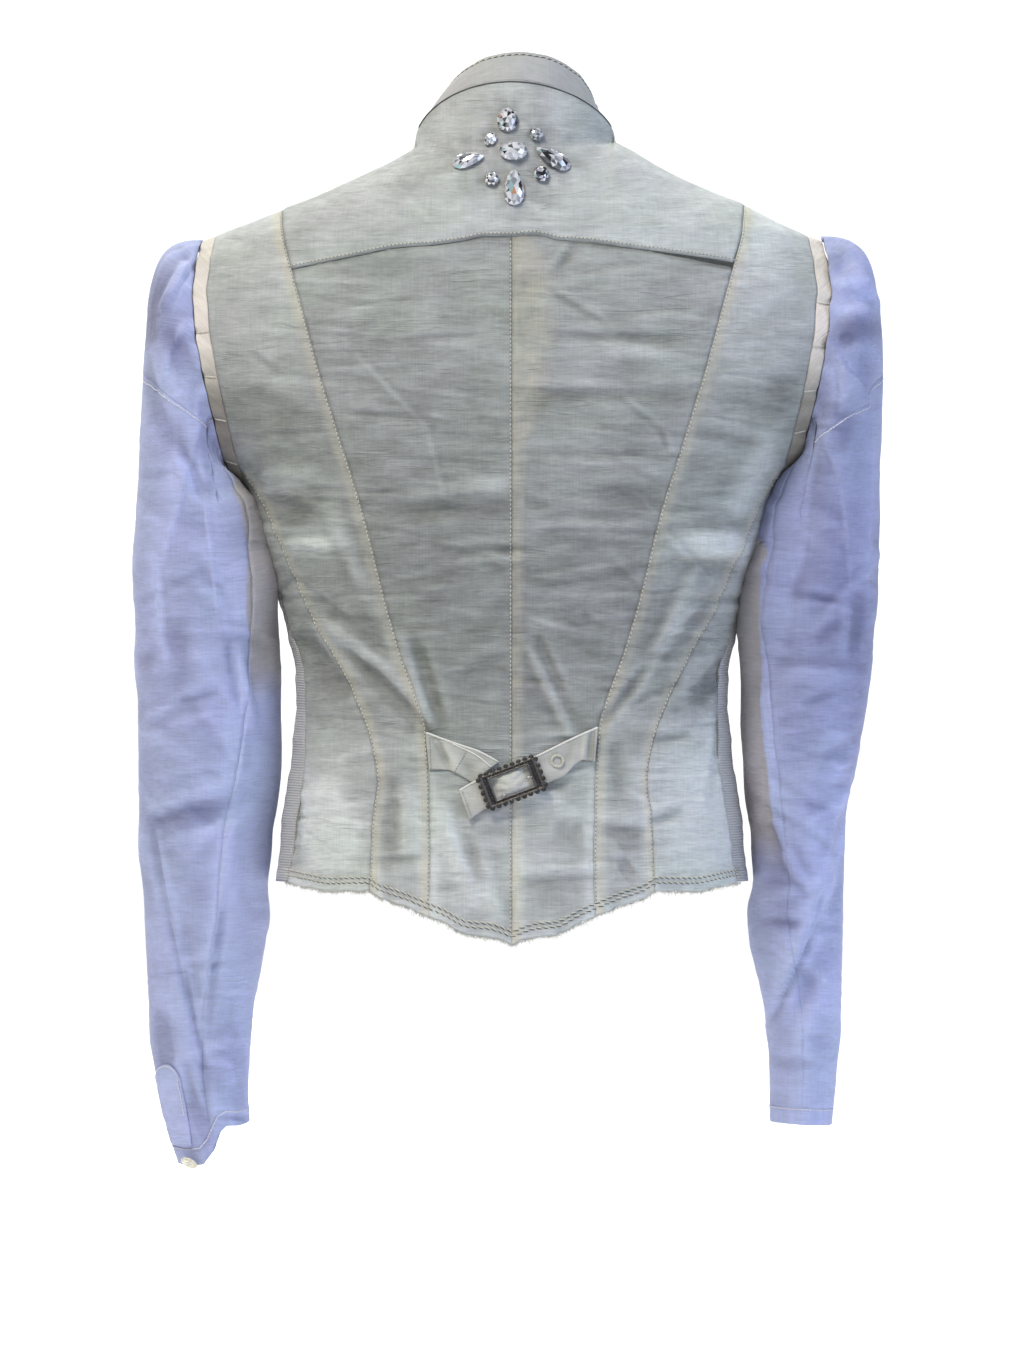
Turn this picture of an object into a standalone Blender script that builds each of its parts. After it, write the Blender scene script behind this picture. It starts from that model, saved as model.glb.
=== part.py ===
"""A short fitted vest-jacket in sheer linen with set-in shirt sleeves, filled out as if worn.

The frame is in metres with +Z up. The back faces +Y, the front faces -Y and the wearer's left is
+X. The origin is the back of the neck, where the collar seam crosses the centre back.

Every panel is a grid on one body surface, between seam lines given as width at height. The sleeves
are lofts from the armhole to the cuff. Each open grid becomes a wall with Solidify.
"""

import math

import bpy
import numpy as np
from mathutils import Matrix

# Driving sizes, in metres
MM = 0.001
CLOTH = 1.2 * MM
SLEEVE_CLOTH = 1.0 * MM
FOLDED_CLOTH = 1.7 * MM
SEAM_INSET = 0.22 * MM
SLEEVE_INSET = 0.42 * MM
LAY_GAP = 0.3 * MM

COLLAR_HEIGHT = 24 * MM
BINDING_WIDTH = 9 * MM
SLEEVE_CLEARANCE = 0.8 * MM
NECK_HALF_WIDTH = 59 * MM
NECK_DROP = 37.5 * MM

ARMHOLE_TOP = -92 * MM
ARMHOLE_BOTTOM = -248 * MM
ARMHOLE_HALF_DEPTH = 56 * MM
SIDE_SEAM_FRONT_ANGLE = math.radians(102.5)
GRID_LEVELS = np.concatenate([np.linspace(-126, -214, 5), [-225], np.linspace(-236, -478, 11)]) * MM
NECK_STEPS = NECK_HALF_WIDTH * np.sin(np.linspace(0, math.pi / 2, 7))

CUFF_DEPTH = 10 * MM
HEAD_END = -275 * MM
CAP_REACH = math.radians(118)
SEAM_ANGLE_FRONT = math.radians(-128)

BUTTON_DIAMETER = 11 * MM
BUTTON_THICKNESS = 2.4 * MM
FRONT_BUTTONS = 6

BUCKLE_SIZE = (37.5 * MM, 21.5 * MM)
BUCKLE_WINDOW = (24.5 * MM, 13.5 * MM)
BUCKLE_THICKNESS = 2.4 * MM
BUCKLE_CENTRE = (0.0, -427 * MM)
BUCKLE_TILT = math.radians(21)
BUCKLE_SCALLOPS = (9, 5)
BUCKLE_LIFT = 4.0 * MM

# Body sections in millimetres: from the side seams' half width, the back and front depths and the
# middle of the section, to the roundness, which is 2 for an ellipse and more for a squarer one.
# Between the armhole's top and bottom the half width is that of the body under the sleeve.
BODY_COLUMNS = ("z", "half_width", "back", "front", "middle", "roundness")
BODY_ROWS = (
    (30, 42, 36, 40, -8, 2),
    (0, 52, 56, 56, -8, 2),
    (-20, 56, 65.5, 66, -8, 2),
    (-37.5, 59, 73, 72, -8, 2),
    (-44, 68, 74.8, 75, -7, 2),
    (-55, 90, 77.5, 80, -5.5, 2),
    (-64.5, 111, 79.3, 84, -4, 2),
    (-71, 126, 80.4, 87, -3, 2),
    (-76.5, 141, 81.3, 90, -2, 2),
    (-84, 160, 82.6, 93, -1, 2),
    (-92, 180, 84, 96, 0, 2),
    (-100, 190, 86, 99, 0, 2),
    (-112, 203, 88.5, 102, 0, 2),
    (-130, 215, 92.5, 106, 0, 2.05),
    (-150, 217.5, 96.5, 110, 0, 2.1),
    (-171, 211.5, 99.5, 114, 0, 2.15),
    (-190, 202, 101.5, 117, 0, 2.18),
    (-212, 188, 102.5, 118.5, 0, 2.2),
    (-230, 175.5, 102, 118, 0, 2.22),
    (-248, 163, 101, 116, 0, 2.25),
    (-279, 155, 99, 110, 0, 2.25),
    (-310, 144, 94, 103, 0, 2.25),
    (-334, 138, 90.5, 99, 0, 2.25),
    (-360, 132.5, 88, 96, 0, 2.3),
    (-382, 132.5, 88, 96, 0, 2.3),
    (-404, 134, 90, 98, 0, 2.3),
    (-443, 140, 96, 103, 0, 2.25),
    (-486, 144, 103, 109, 0, 2.2),
    (-530, 147, 109, 114, 0, 2.2),
)

# Seam lines of the back in millimetres, as the distance from the centre back at each height
INNER_SEAM_ROWS = ((-75, 141), (-94, 139), (-114, 134), (-138, 127.5), (-175, 117.5),
                   (-209, 107), (-267, 89), (-315, 77), (-352, 66), (-376, 57), (-393, 52.5),
                   (-419, 50.5), (-445, 50), (-470, 49.5), (-530, 51))
OUTER_SEAM_ROWS = ((-236, 165.9), (-247, 158.5), (-258, 152), (-273, 145.5), (-292, 137), (-322, 124),
                   (-346, 110), (-376, 95), (-400, 86), (-425, 82), (-450, 85), (-480, 86),
                   (-530, 87))
RIB_BACK_ROWS = ((-240, 0.996), (-300, 0.995), (-340, 0.975), (-360, 0.955), (-385, 0.95),
                 (-426, 0.93), (-450, 0.935), (-490, 0.95))
YOKE_EDGE_ROWS = ((0, -96), (15, -96), (30, -98.5), (50, -101), (72, -103), (110, -108.5),
                  (134, -113.5), (150, -116))
HEM_ROWS = ((0, -523.5), (13, -519), (27, -517.5), (41, -510.5), (52, -506), (64, -501),
            (79, -496), (88, -491.5), (110, -492), (126, -489.5), (138, -487.5), (150, -486))
FRONT_HEM = -487 * MM

# Sleeve sections in millimetres: the outline seen from the back at each height
SLEEVE_OUTLINES = {
    1: {"outer": ((-255, 229.5), (-294, 232.4), (-329, 231), (-364, 230), (-413, 229),
                  (-470, 228.5), (-500, 226), (-541, 224), (-584, 222), (-610, 219),
                  (-630, 214), (-649, 209), (-664, 204)),
        "inner": ((-275, 160), (-291, 155.5), (-310, 149), (-334, 143), (-364, 141.5),
                  (-393, 141), (-413, 141), (-442, 144), (-462, 147.5), (-485, 148.5),
                  (-506, 148), (-523, 151), (-547, 155), (-564, 158.5), (-584, 160.5),
                  (-619, 162), (-640, 161)),
        "tilt": ((-275, 10), (-340, 3), (-400, 0), (-560, -5), (-620, -9), (-649, -13)),
        "end": -648},
    -1: {"outer": ((-255, 224.6), (-312, 224), (-347, 220.5), (-382, 217), (-411, 211.6),
                   (-446, 205.5), (-471, 203.8), (-530, 202.8), (-576, 201.6), (-617, 198.5),
                   (-640, 196.5)),
         "inner": ((-275, 160), (-291, 155.5), (-310, 149), (-334, 142.5), (-365, 140.5),
                   (-394, 140), (-410, 140.5), (-443, 144), (-463, 147), (-486, 147.5),
                   (-506, 144), (-525, 145.5), (-539, 149), (-553, 152.5), (-578, 156.5),
                   (-602, 158), (-640, 158.5)),
         "tilt": ((-275, 10), (-340, 3), (-400, 0), (-560, -1), (-640, -1)),
         "end": -636},
}
SLEEVE_DEPTH_ROWS = ((-275, 52), (-340, 50), (-400, 47), (-460, 45), (-520, 43), (-580, 40),
                     (-650, 37))
SLEEVE_PITCH_ROWS = ((-275, 0), (-340, -1), (-400, -4), (-460, -8), (-520, -14), (-580, -20),
                     (-650, -27))
SLEEVE_SEAM_ROWS = ((-230, 136), (-300, 131), (-345, 128), (-393, 119), (-439, 110), (-471, 106),
                    (-502, 101), (-540, 96), (-600, 93), (-660, 92))

# Folds of the sleeves: the angle round the sleeve in degrees and the height in millimetres of each
# end, then the width and depth of the trough in millimetres. Angle 0 is the outer side, 90 the back.
FOLD_COLUMNS = ("from_angle", "from_z", "to_angle", "to_z", "width", "depth")
SLEEVE_FOLDS = {
    1: ((20, -395, 62, -500, 11, 3.5), (62, -500, 96, -600, 10, 4.0), (60, -430, 105, -455, 8, 2.5),
        (70, -465, 118, -440, 8, 2.5), (55, -235, 100, -275, 12, 3.0), (-40, -400, -90, -470, 12, 3.5),
        (-60, -240, -105, -280, 12, 3.0)),
    -1: ((15, -450, 60, -530, 11, 4.0), (60, -530, 110, -575, 10, 4.0), (48, -190, 62, -225, 9, 3.5),
         (75, -400, 118, -430, 9, 2.5), (55, -300, 100, -330, 12, 2.5), (-40, -390, -90, -460, 12, 3.5),
         (-60, -240, -105, -280, 12, 3.0)),
}

# Crystals of the yoke in millimetres: across and up from the origin, the length and width of the
# stone, the direction of its length in degrees, how far its outline is drawn out to a point, 0 for
# an oval, and its height
CRYSTAL_COLUMNS = ("across", "up", "length", "width", "turn", "point", "height")
CRYSTALS = {
    "crystal_oval_top": (2.6, -24.8, 16.5, 12.8, 90, 0.0, 4.5),
    "crystal_oval_centre": (-0.8, -44.1, 17.1, 12.8, 0, 0.0, 4.5),
    "crystal_drop_left": (26.2, -49.5, 19.8, 10.2, 17, 0.55, 4.2),
    "crystal_drop_right": (-24.6, -48.4, 23.8, 11.6, 143, 0.55, 4.2),
    "crystal_drop_bottom": (-1.2, -66.5, 23.2, 12.6, 90, 0.55, 4.2),
    "crystal_small_upper_left": (12.8, -36.4, 9.3, 8.0, 60, 0.0, 3.2),
    "crystal_small_upper_right": (-14.5, -33.4, 9.2, 8.6, 150, 0.0, 3.2),
    "crystal_small_lower_left": (12.2, -61.0, 9.3, 9.0, 90, 0.0, 3.2),
    "crystal_small_lower_right": (-17.7, -58.0, 10.6, 9.4, 90, 0.0, 3.2),
}

# Strap outlines in millimetres: upper and lower edge, across and up from the origin, seam end first
STRAP_LEFT = {"upper": ((52, -396), (36, -402), (20, -407.5), (8, -414)),
              "lower": ((50, -418.5), (40, -418.5), (31, -422), (24, -426.5))}
STRAP_RIGHT = {"upper": ((-51.5, -393), (-36, -400), (-15, -410.5), (3, -419.5), (20, -425),
                         (31.7, -431.3)),
               "lower": ((-49.5, -414), (-38, -417), (-22, -426), (-4, -434.5), (16, -442.5),
                         (25.6, -449))}
EYELET_PLACE = (-27 * MM, -413.5 * MM)

COLLECTION = "embellished_jacket"

COLOURS = {
    "vest_linen": (0.55, 0.60, 0.56), "collar_linen": (0.50, 0.51, 0.49),
    "binding_linen": (0.62, 0.58, 0.50), "rib_knit": (0.45, 0.46, 0.48),
    "sleeve_linen": (0.42, 0.47, 0.72), "strap_linen": (0.66, 0.65, 0.58),
    "pewter": (0.12, 0.11, 0.11), "pearl": (0.78, 0.76, 0.62), "crystal": (0.80, 0.84, 0.88),
}


# Curves and sections

def curve_through(points, at):
    """A smooth curve through (key, value) points, which never swings past two neighbours."""
    keys, values = np.array(sorted(points), float).T
    widths = np.diff(keys)
    steps = np.diff(values) / widths
    slopes = np.concatenate([steps[:1], np.zeros(len(keys) - 2), steps[-1:]])
    same_way = steps[:-1] * steps[1:] > 0
    together = steps[:-1] + steps[1:]
    inner = 2 * steps[:-1] * steps[1:] / np.where(same_way, together, 1)
    slopes[1:-1] = np.where(same_way, inner, 0)
    at = np.clip(np.asarray(at, float), keys[0], keys[-1])
    place = np.clip(np.searchsorted(keys, at, side="right") - 1, 0, len(widths) - 1)
    part = (at - keys[place]) / widths[place]
    rise = part * part * (3 - 2 * part)
    start_swing = part * (1 - part) ** 2 * widths[place] * slopes[place]
    end_swing = part * part * (1 - part) * widths[place] * slopes[place + 1]
    return values[place] * (1 - rise) + values[place + 1] * rise + start_swing - end_swing


def in_metres(rows):
    """A table's millimetres as metres, for a curve of two columns."""
    return [(key * MM, value * MM) for key, value in rows]


def body_size(name, z):
    """One column of the body's sections at height z: metres, or plain for the roundness."""
    column = BODY_COLUMNS.index(name)
    unit = 1.0 if name == "roundness" else MM
    return curve_through([(row[0] * MM, row[column] * unit) for row in BODY_ROWS], z)


def on_body(x, z, side):
    """The body's points at x and z: on the back for side 1, on the front for side -1."""
    x, z = np.broadcast_arrays(np.asarray(x, float), np.asarray(z, float))
    roundness = body_size("roundness", z)
    depth = body_size("back" if side > 0 else "front", z)
    across = np.clip(np.abs(x) / body_size("half_width", z), 0, 1)
    y = body_size("middle", z) + side * depth * (1 - across ** roundness) ** (1 / roundness)
    return np.stack([x, y, z], axis=-1)


def round_body(angle, z, hand):
    """The body's points at an angle from the centre back towards one hand, at height z."""
    angle, z = np.broadcast_arrays(np.asarray(angle, float), np.asarray(z, float))
    power = 2 / body_size("roundness", z)
    depth = np.where(np.cos(angle) > 0, body_size("back", z), body_size("front", z))
    x = hand * body_size("half_width", z) * np.abs(np.sin(angle)) ** power
    y = body_size("middle", z) + np.sign(np.cos(angle)) * depth * np.abs(np.cos(angle)) ** power
    return np.stack([x, y, z], axis=-1)


def body_normals(x, z, side):
    """Outward unit normals of the body at x and z."""
    step = 0.5 * MM
    over = on_body(x + step, z, side) - on_body(x - step, z, side)
    down = on_body(x, z - step, side) - on_body(x, z + step, side)
    normals = side * np.cross(over, down)
    return normals / np.linalg.norm(normals, axis=-1, keepdims=True)


def shoulder_height(x):
    """The height of the shoulder seam at x, where the body's half width equals x."""
    heights = np.linspace(-92 * MM, -NECK_DROP, 800)
    return np.interp(np.abs(x), body_size("half_width", heights)[::-1], heights[::-1])


def neck_height(x, side):
    """The height of the neck seam at x, on the back or on the front."""
    turn = np.arcsin(np.clip(np.abs(x) / NECK_HALF_WIDTH, 0, 1))
    return -NECK_DROP * (1 - side * np.cos(turn))


def top_height(x, side):
    """The top edge of the body: the neck seam near the middle, the shoulder seam beyond it."""
    at_neck = np.abs(x) < NECK_HALF_WIDTH
    return np.where(at_neck, neck_height(x, side), shoulder_height(x))


def armhole_line(turn):
    """Points of the armhole seam on the wearer's left: turn 0 is the shoulder, 90 degrees the back."""
    middle = (ARMHOLE_TOP + ARMHOLE_BOTTOM) / 2
    half_height = (ARMHOLE_TOP - ARMHOLE_BOTTOM) / 2
    z = middle + half_height * np.cos(turn)
    y = ARMHOLE_HALF_DEPTH * np.sin(turn)
    roundness = body_size("roundness", z)
    depth = np.where(y > 0, body_size("back", z), body_size("front", z))
    share = np.abs(y) / depth
    x = body_size("half_width", z) * (1 - share ** roundness) ** (1 / roundness)
    return np.stack([x, y, z], axis=-1)


def armhole_width(z, side):
    """How far out the armhole seam lies at height z."""
    middle = (ARMHOLE_TOP + ARMHOLE_BOTTOM) / 2
    half_height = (ARMHOLE_TOP - ARMHOLE_BOTTOM) / 2
    turn = np.arccos(np.clip((z - middle) / half_height, -1, 1))
    return armhole_line(side * turn)[..., 0]


def armhole_floor(y):
    """The height of the lower half of the armhole seam at depth y."""
    middle = (ARMHOLE_TOP + ARMHOLE_BOTTOM) / 2
    half_height = (ARMHOLE_TOP - ARMHOLE_BOTTOM) / 2
    share = np.clip(np.abs(y) / ARMHOLE_HALF_DEPTH, 0, 1)
    return middle - half_height * np.sqrt(1 - share ** 2)


def hem_height(x):
    """The back hem, which dips to a point at the centre back."""
    return curve_through(in_metres(HEM_ROWS), np.abs(x))


def yoke_edge_height(x):
    """The lower edge of the yoke."""
    return curve_through(in_metres(YOKE_EDGE_ROWS), np.abs(x))


def inner_seam(z):
    """The inner princess seam's distance from the centre back."""
    return curve_through(in_metres(INNER_SEAM_ROWS), z)


def outer_seam(z):
    """The armhole's edge down to its notch, then the outer princess seam."""
    notch = OUTER_SEAM_ROWS[0][0] * MM
    seam = curve_through(in_metres(OUTER_SEAM_ROWS), z)
    return np.where(z > notch, armhole_width(z, 1), seam)


def rib_back(z):
    """The back edge of the ribbed side insert."""
    share = curve_through([(height * MM, part) for height, part in RIB_BACK_ROWS], z)
    return share * body_size("half_width", z)


# Meshes

def principled(name):
    """A material with one Principled BSDF in the sub-part's colour."""
    material = bpy.data.materials.get(name)
    if material:
        return material
    material = bpy.data.materials.new(name)
    material.use_nodes = True
    shader = material.node_tree.nodes["Principled BSDF"]
    shader.inputs["Base Color"].default_value = (*COLOURS[name], 1)
    shader.inputs["Metallic"].default_value = 1.0 if name == "pewter" else 0.0
    shader.inputs["Roughness"].default_value = {"pewter": 0.35, "pearl": 0.25,
                                                "crystal": 0.05}.get(name, 0.85)
    return material


def new_object(name, mesh, material):
    """An object of the part, in its collection, with its material."""
    thing = bpy.data.objects.new(name, mesh)
    mesh.materials.append(principled(material))
    bpy.data.collections[COLLECTION].objects.link(thing)
    return thing


def inset(grid, top=0.0, bottom=0.0, first=0.0, last=0.0):
    """Moves a grid's four edges in along the cloth, so that seams keep their gap."""
    grid = np.array(grid)
    for edge, inner, distance in ((0, 1, top), (-1, -2, bottom)):
        way = grid[inner] - grid[edge]
        grid[edge] += distance * way / np.linalg.norm(way, axis=-1, keepdims=True)
    for edge, inner, distance in ((0, 1, first), (-1, -2, last)):
        way = grid[:, inner] - grid[:, edge]
        grid[:, edge] += distance * way / np.linalg.norm(way, axis=-1, keepdims=True)
    return grid


def sheet_mesh(name, grid, closed=False):
    """A quad mesh on a grid of points: rows run down, columns round. Closed joins the last column."""
    rows, columns = grid.shape[:2]
    row, column = np.meshgrid(np.arange(rows - 1), np.arange(columns if closed else columns - 1),
                              indexing="ij")
    after = (column + 1) % columns
    faces = np.stack([row * columns + column, (row + 1) * columns + column,
                      (row + 1) * columns + after, row * columns + after], axis=-1)
    mesh = bpy.data.meshes.new(name)
    mesh.from_pydata(grid.reshape(-1, 3).tolist(), [], faces.reshape(-1, 4).tolist())
    return mesh


def faces_out(grid, axis_points):
    """True where the grid's own winding points away from the axis that it goes round."""
    rows, columns = grid.shape[:2]
    row, column = rows // 2, columns // 2
    down = grid[row, column] - grid[row - 1, column]
    over = grid[row, column] - grid[row, column - 1]
    return np.dot(np.cross(down, over), grid[row, column] - axis_points) > 0


def wall(name, grid, material, thickness=CLOTH, closed=False, away_from=None):
    """Cloth on a grid of points: an open sheet with its thickness inside, by Solidify."""
    centre = np.array([0, 0, grid[..., 2].mean()]) if away_from is None else away_from
    if not faces_out(grid, centre):
        grid = grid[:, ::-1]
    thing = new_object(name, sheet_mesh(name, grid, closed), material)
    solidify = thing.modifiers.new("wall", "SOLIDIFY")
    solidify.thickness = thickness
    solidify.offset = -1
    solidify.use_even_offset = False
    thing.data.shade_smooth()
    thing.data.set_sharp_from_angle(angle=math.radians(50))
    return thing


def spread(first, last, count, crowd=0.0):
    """Count + 1 even steps from first to last, crowded towards the last by up to 1."""
    share = np.linspace(0, 1, count + 1)
    if crowd:
        share = np.sin(share * crowd * math.pi / 2) / math.sin(crowd * math.pi / 2)
    return first + (last - first) * share


# Body panels

def panel_rows(high, low, top_rows, ease):
    """Row heights of a panel: rows under its top edge, then the levels that all panels share."""
    below = high.min() - 8 * MM
    shared = GRID_LEVELS[(GRID_LEVELS < below) & (GRID_LEVELS > low.max() + 6 * MM)]
    down = np.linspace(0, 1, top_rows + 1)[:, None] ** ease
    upper = high + (shared[0] - high) * down
    middle = np.broadcast_to(shared[1:, None], (len(shared) - 1, len(high)))
    return np.concatenate([upper, middle, low[None]])


def panel_grid(inner_edge, outer_edge, top, bottom, share, top_rows, side, hand, ease=1.0,
               end=None):
    """A grid on the body between two seam lines, which are widths at height, and two edge heights.

    Columns go from the inner to the outer seam, each at its share of the way. Rows go down, closer
    together near the top where ease is over 1. The edge heights are found by a few steps, because
    the seams slant.
    """

    def width(z):
        return inner_edge(z) + (outer_edge(z) - inner_edge(z)) * share

    high = np.full(len(share), -100 * MM)
    low = np.full(len(share), -490 * MM)
    for _ in range(16):
        high = top(width(high), high)
        low = bottom(width(low), low)
    if end:
        z = high + (low - high) * np.linspace(0, 1, end + 1)[:, None] ** ease
    else:
        z = panel_rows(high, low, top_rows, ease)
    x = width(z)
    points = on_body(x, z, side)
    points[..., 0] *= hand
    return points


def centre_line(z):
    """The centre-back or centre-front seam."""
    return np.zeros_like(z)


def back_top(x, z):
    """The top edge of the back at x."""
    return top_height(x, 1)


def front_top(x, z):
    """The top edge of the front at x."""
    return top_height(x, -1)


def back_hem(x, z):
    """The hem of the back at x."""
    return hem_height(x)


def yoke_edge(x, z):
    """The yoke's lower edge at x."""
    return yoke_edge_height(x)


def back_armhole_floor(x, z):
    """The armhole's edge above a point of the back."""
    return np.minimum(armhole_floor(on_body(x, z, 1)[..., 1]), OUTER_SEAM_ROWS[0][0] * MM)


def front_hem(x, z):
    """The level hem of the front."""
    return np.full_like(x, FRONT_HEM)


def make_yoke():
    """The yoke, one piece across both shoulders, between the princess seams."""
    shoulder_end = 141 * MM
    beyond = np.linspace(NECK_HALF_WIDTH, shoulder_end, 5)[1:]
    share = np.concatenate([NECK_STEPS, beyond]) / shoulder_end
    half = panel_grid(centre_line, inner_seam, back_top, yoke_edge, share, 0, 1, 1, ease=1.6,
                      end=8)
    mirrored = half[:, :0:-1] * np.array([-1, 1, 1])
    whole = np.concatenate([mirrored, half], axis=1)
    whole = inset(whole, 1.8 * SEAM_INSET, SEAM_INSET, SEAM_INSET, SEAM_INSET)
    wall("back_yoke", whole, "vest_linen")


def make_back_panels(hand, word):
    """The centre, princess and side panels of one half of the back."""
    centre = panel_grid(centre_line, inner_seam, yoke_edge, back_hem, spread(0, 1, 5), 1, 1, hand)
    wall("back_centre_" + word, inset(centre, SEAM_INSET, 0, SEAM_INSET, SEAM_INSET), "vest_linen")
    princess = panel_grid(inner_seam, outer_seam, back_top, back_hem, spread(0, 1, 5), 6, 1, hand,
                          ease=1.5)
    wall("back_princess_" + word,
         inset(princess, SEAM_INSET, 0, SEAM_INSET, SLEEVE_INSET), "vest_linen")
    side = panel_grid(outer_seam_low, rib_back, back_armhole_floor, back_hem,
                      spread(0, 1, 4, 0.75), 1, 1, hand)
    wall("back_side_" + word,
         inset(side, 1.6 * SEAM_INSET, 0, SEAM_INSET, SEAM_INSET), "vest_linen")


def outer_seam_low(z):
    """The outer princess seam alone, for the panel under the armhole."""
    return curve_through(in_metres(OUTER_SEAM_ROWS), z)


def make_rib(hand, word):
    """The ribbed insert along the side, from just behind the side line to just before it."""
    columns = 6
    share = np.linspace(0, 1, columns + 1)

    def angles(z):
        back_share = rib_back(z) / body_size("half_width", z)
        back_angle = np.arcsin(back_share ** (body_size("roundness", z) / 2))
        return back_angle + (SIDE_SEAM_FRONT_ANGLE - back_angle) * share

    high = np.full(columns + 1, ARMHOLE_BOTTOM)
    for _ in range(12):
        high = armhole_floor(round_body(angles(high), high, 1)[:, 1])
    z = panel_rows(high, np.full(columns + 1, FRONT_HEM), 1, 1.0)
    grid = round_body(angles(z), z, hand)
    wall("side_rib_" + word, inset(grid, 1.6 * SEAM_INSET, 0, SEAM_INSET, SEAM_INSET), "rib_knit")


def front_edge(z):
    """The front panel's outer edge: the insert's front edge, then the armhole."""
    side_share = math.sin(SIDE_SEAM_FRONT_ANGLE) ** (2 / 2.25)
    beside_rib = side_share * body_size("half_width", z)
    return np.where(z > FRONT_NOTCH, armhole_width(z, -1), beside_rib)


def make_front(hand, word):
    """One plain front, from the shoulder and neck to the hem."""
    shoulder_end = 180 * MM
    beyond = spread(NECK_HALF_WIDTH, shoulder_end, 6, 0.6)[1:]
    share = np.concatenate([NECK_STEPS, beyond]) / shoulder_end
    grid = panel_grid(centre_line, front_edge, front_top, front_hem, share, 5, -1, hand, ease=1.5)
    grid = inset(grid, 1.8 * SEAM_INSET, 0, 0.5 * MM, 1.6 * SEAM_INSET)
    wall("front_" + word, grid, "vest_linen")


def find_front_notch():
    """The height where the front edge of the rib meets the armhole."""
    heights = np.linspace(ARMHOLE_BOTTOM, -200 * MM, 400)
    side_share = math.sin(SIDE_SEAM_FRONT_ANGLE) ** (2 / 2.25)
    beside_rib = side_share * body_size("half_width", heights)
    depth = on_body(beside_rib, heights, -1)[:, 1]
    return heights[np.argmin(np.abs(armhole_floor(depth) - heights))]


# Collar, bindings and front band

def neck_line(turn):
    """Points of the neck seam on the wearer's left: turn 0 is the centre back."""
    x = NECK_HALF_WIDTH * np.sin(turn)
    z = -NECK_DROP * (1 - np.cos(turn))
    back = on_body(x, z, 1)
    front = on_body(x, z, -1)
    return np.where((np.cos(turn) > 0)[..., None], back, front)


def make_collar():
    """The stand collar: a band that leans in towards the neck, open at the centre front."""
    turns = np.linspace(0, math.pi, 25)
    turns[-1] -= 0.6 * MM / NECK_HALF_WIDTH
    half = neck_line(turns)
    lean = np.stack([-0.30 * np.sin(turns), -0.52 * np.cos(turns), 0.80 + 0.06 * np.cos(turns)],
                    axis=-1)
    lean /= np.linalg.norm(lean, axis=-1, keepdims=True)
    heights = np.linspace(1.1 * MM, COLLAR_HEIGHT, 4)
    half = half[None] + lean[None] * heights[::-1, None, None]
    whole = np.concatenate([half[:, :0:-1] * np.array([-1, 1, 1]), half], axis=1)
    centre = np.array([0, -20 * MM, -30 * MM])
    wall("collar_stand", whole, "collar_linen", FOLDED_CLOTH, away_from=centre)


def binding_way(turn):
    """The direction in which the binding leaves the armhole seam: out, and a little inwards."""
    way = np.stack([np.ones_like(turn), -0.35 * np.sin(turn), -0.35 * np.cos(turn)], axis=-1)
    return way / np.linalg.norm(way, axis=-1, keepdims=True)


def make_binding(hand, word):
    """The band of folded linen round one armhole."""
    turns = np.linspace(0, 2 * math.pi, 49)[:-1]
    seam, way = armhole_line(wrap(turns)), binding_way(turns)
    reach = np.array([2 * SLEEVE_INSET, BINDING_WIDTH / 2, BINDING_WIDTH])
    grid = seam[None] + way[None] * reach[:, None, None]
    grid[..., 0] *= hand
    centre = np.array([grid[1, :, 0].mean(), 0, grid[1, :, 2].mean()])
    wall("armhole_binding_" + word, grid, "binding_linen", FOLDED_CLOTH, True, centre)


def lifted(x, z, height, side=1):
    """Points above the body at x and z, moved out along its normals."""
    return on_body(x, z, side) + body_normals(x, z, side) * np.asarray(height)[..., None]


def make_front_band():
    """The button band of the wearer's right front, and its buttons."""
    half_width = 12 * MM
    across = np.linspace(-half_width, half_width, 5)
    top = neck_height(across, -1) - 2.5 * MM
    z = panel_rows(top, np.full_like(top, FRONT_HEM + 1 * MM), 2, 1.0)
    x = np.broadcast_to(across, z.shape)
    wall("front_band", lifted(x, z, np.full(z.shape, LAY_GAP + CLOTH), -1), "vest_linen")
    heights = np.linspace(-97 * MM, -455 * MM, FRONT_BUTTONS)
    for number, height in enumerate(heights, 1):
        place = np.array([0.0, height])
        lift = LAY_GAP + CLOTH + 2.2 * LAY_GAP
        foot = lifted(place[0], place[1], lift, -1)
        make_button(f"front_button_{number}", foot, body_normals(place[0], place[1], -1))


def make_button(name, foot, out):
    """A round button standing on its foot point, facing out."""
    bpy.ops.mesh.primitive_cylinder_add(vertices=14, radius=BUTTON_DIAMETER / 2,
                                        depth=BUTTON_THICKNESS)
    button = bpy.context.object
    mesh = button.data
    bpy.data.objects.remove(button)
    thing = new_object(name, mesh, "pearl")
    thing.location = foot + out * BUTTON_THICKNESS / 2
    thing.rotation_euler = out_rotation(out)
    bevel = thing.modifiers.new("edge", "BEVEL")
    bevel.width = 0.5 * MM
    bevel.segments = 1
    mesh.shade_smooth()
    mesh.set_sharp_from_angle(angle=math.radians(50))


def out_rotation(out, turn=0.0):
    """Euler angles that take local +Z to the outward normal and local +X to the turned level."""
    out = np.asarray(out, float)
    level = np.cross([0, 0, 1], out)
    level /= np.linalg.norm(level)
    up = np.cross(out, level)
    along = math.cos(turn) * level + math.sin(turn) * up
    across = np.cross(out, along)
    return as_euler(along, across, out)


def as_euler(along, across, out):
    """The XYZ Euler angles of the rotation whose columns are three unit vectors."""
    pitch = math.asin(-along[2])
    roll = math.atan2(across[2], out[2])
    yaw = math.atan2(along[1], along[0])
    return (roll, pitch, yaw)


# Sleeves

def sleeve_outline(hand, name, z):
    """The sleeve's outline seen from the back, as a distance from the middle at height z."""
    return curve_through(in_metres(SLEEVE_OUTLINES[hand][name]), z)


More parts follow.
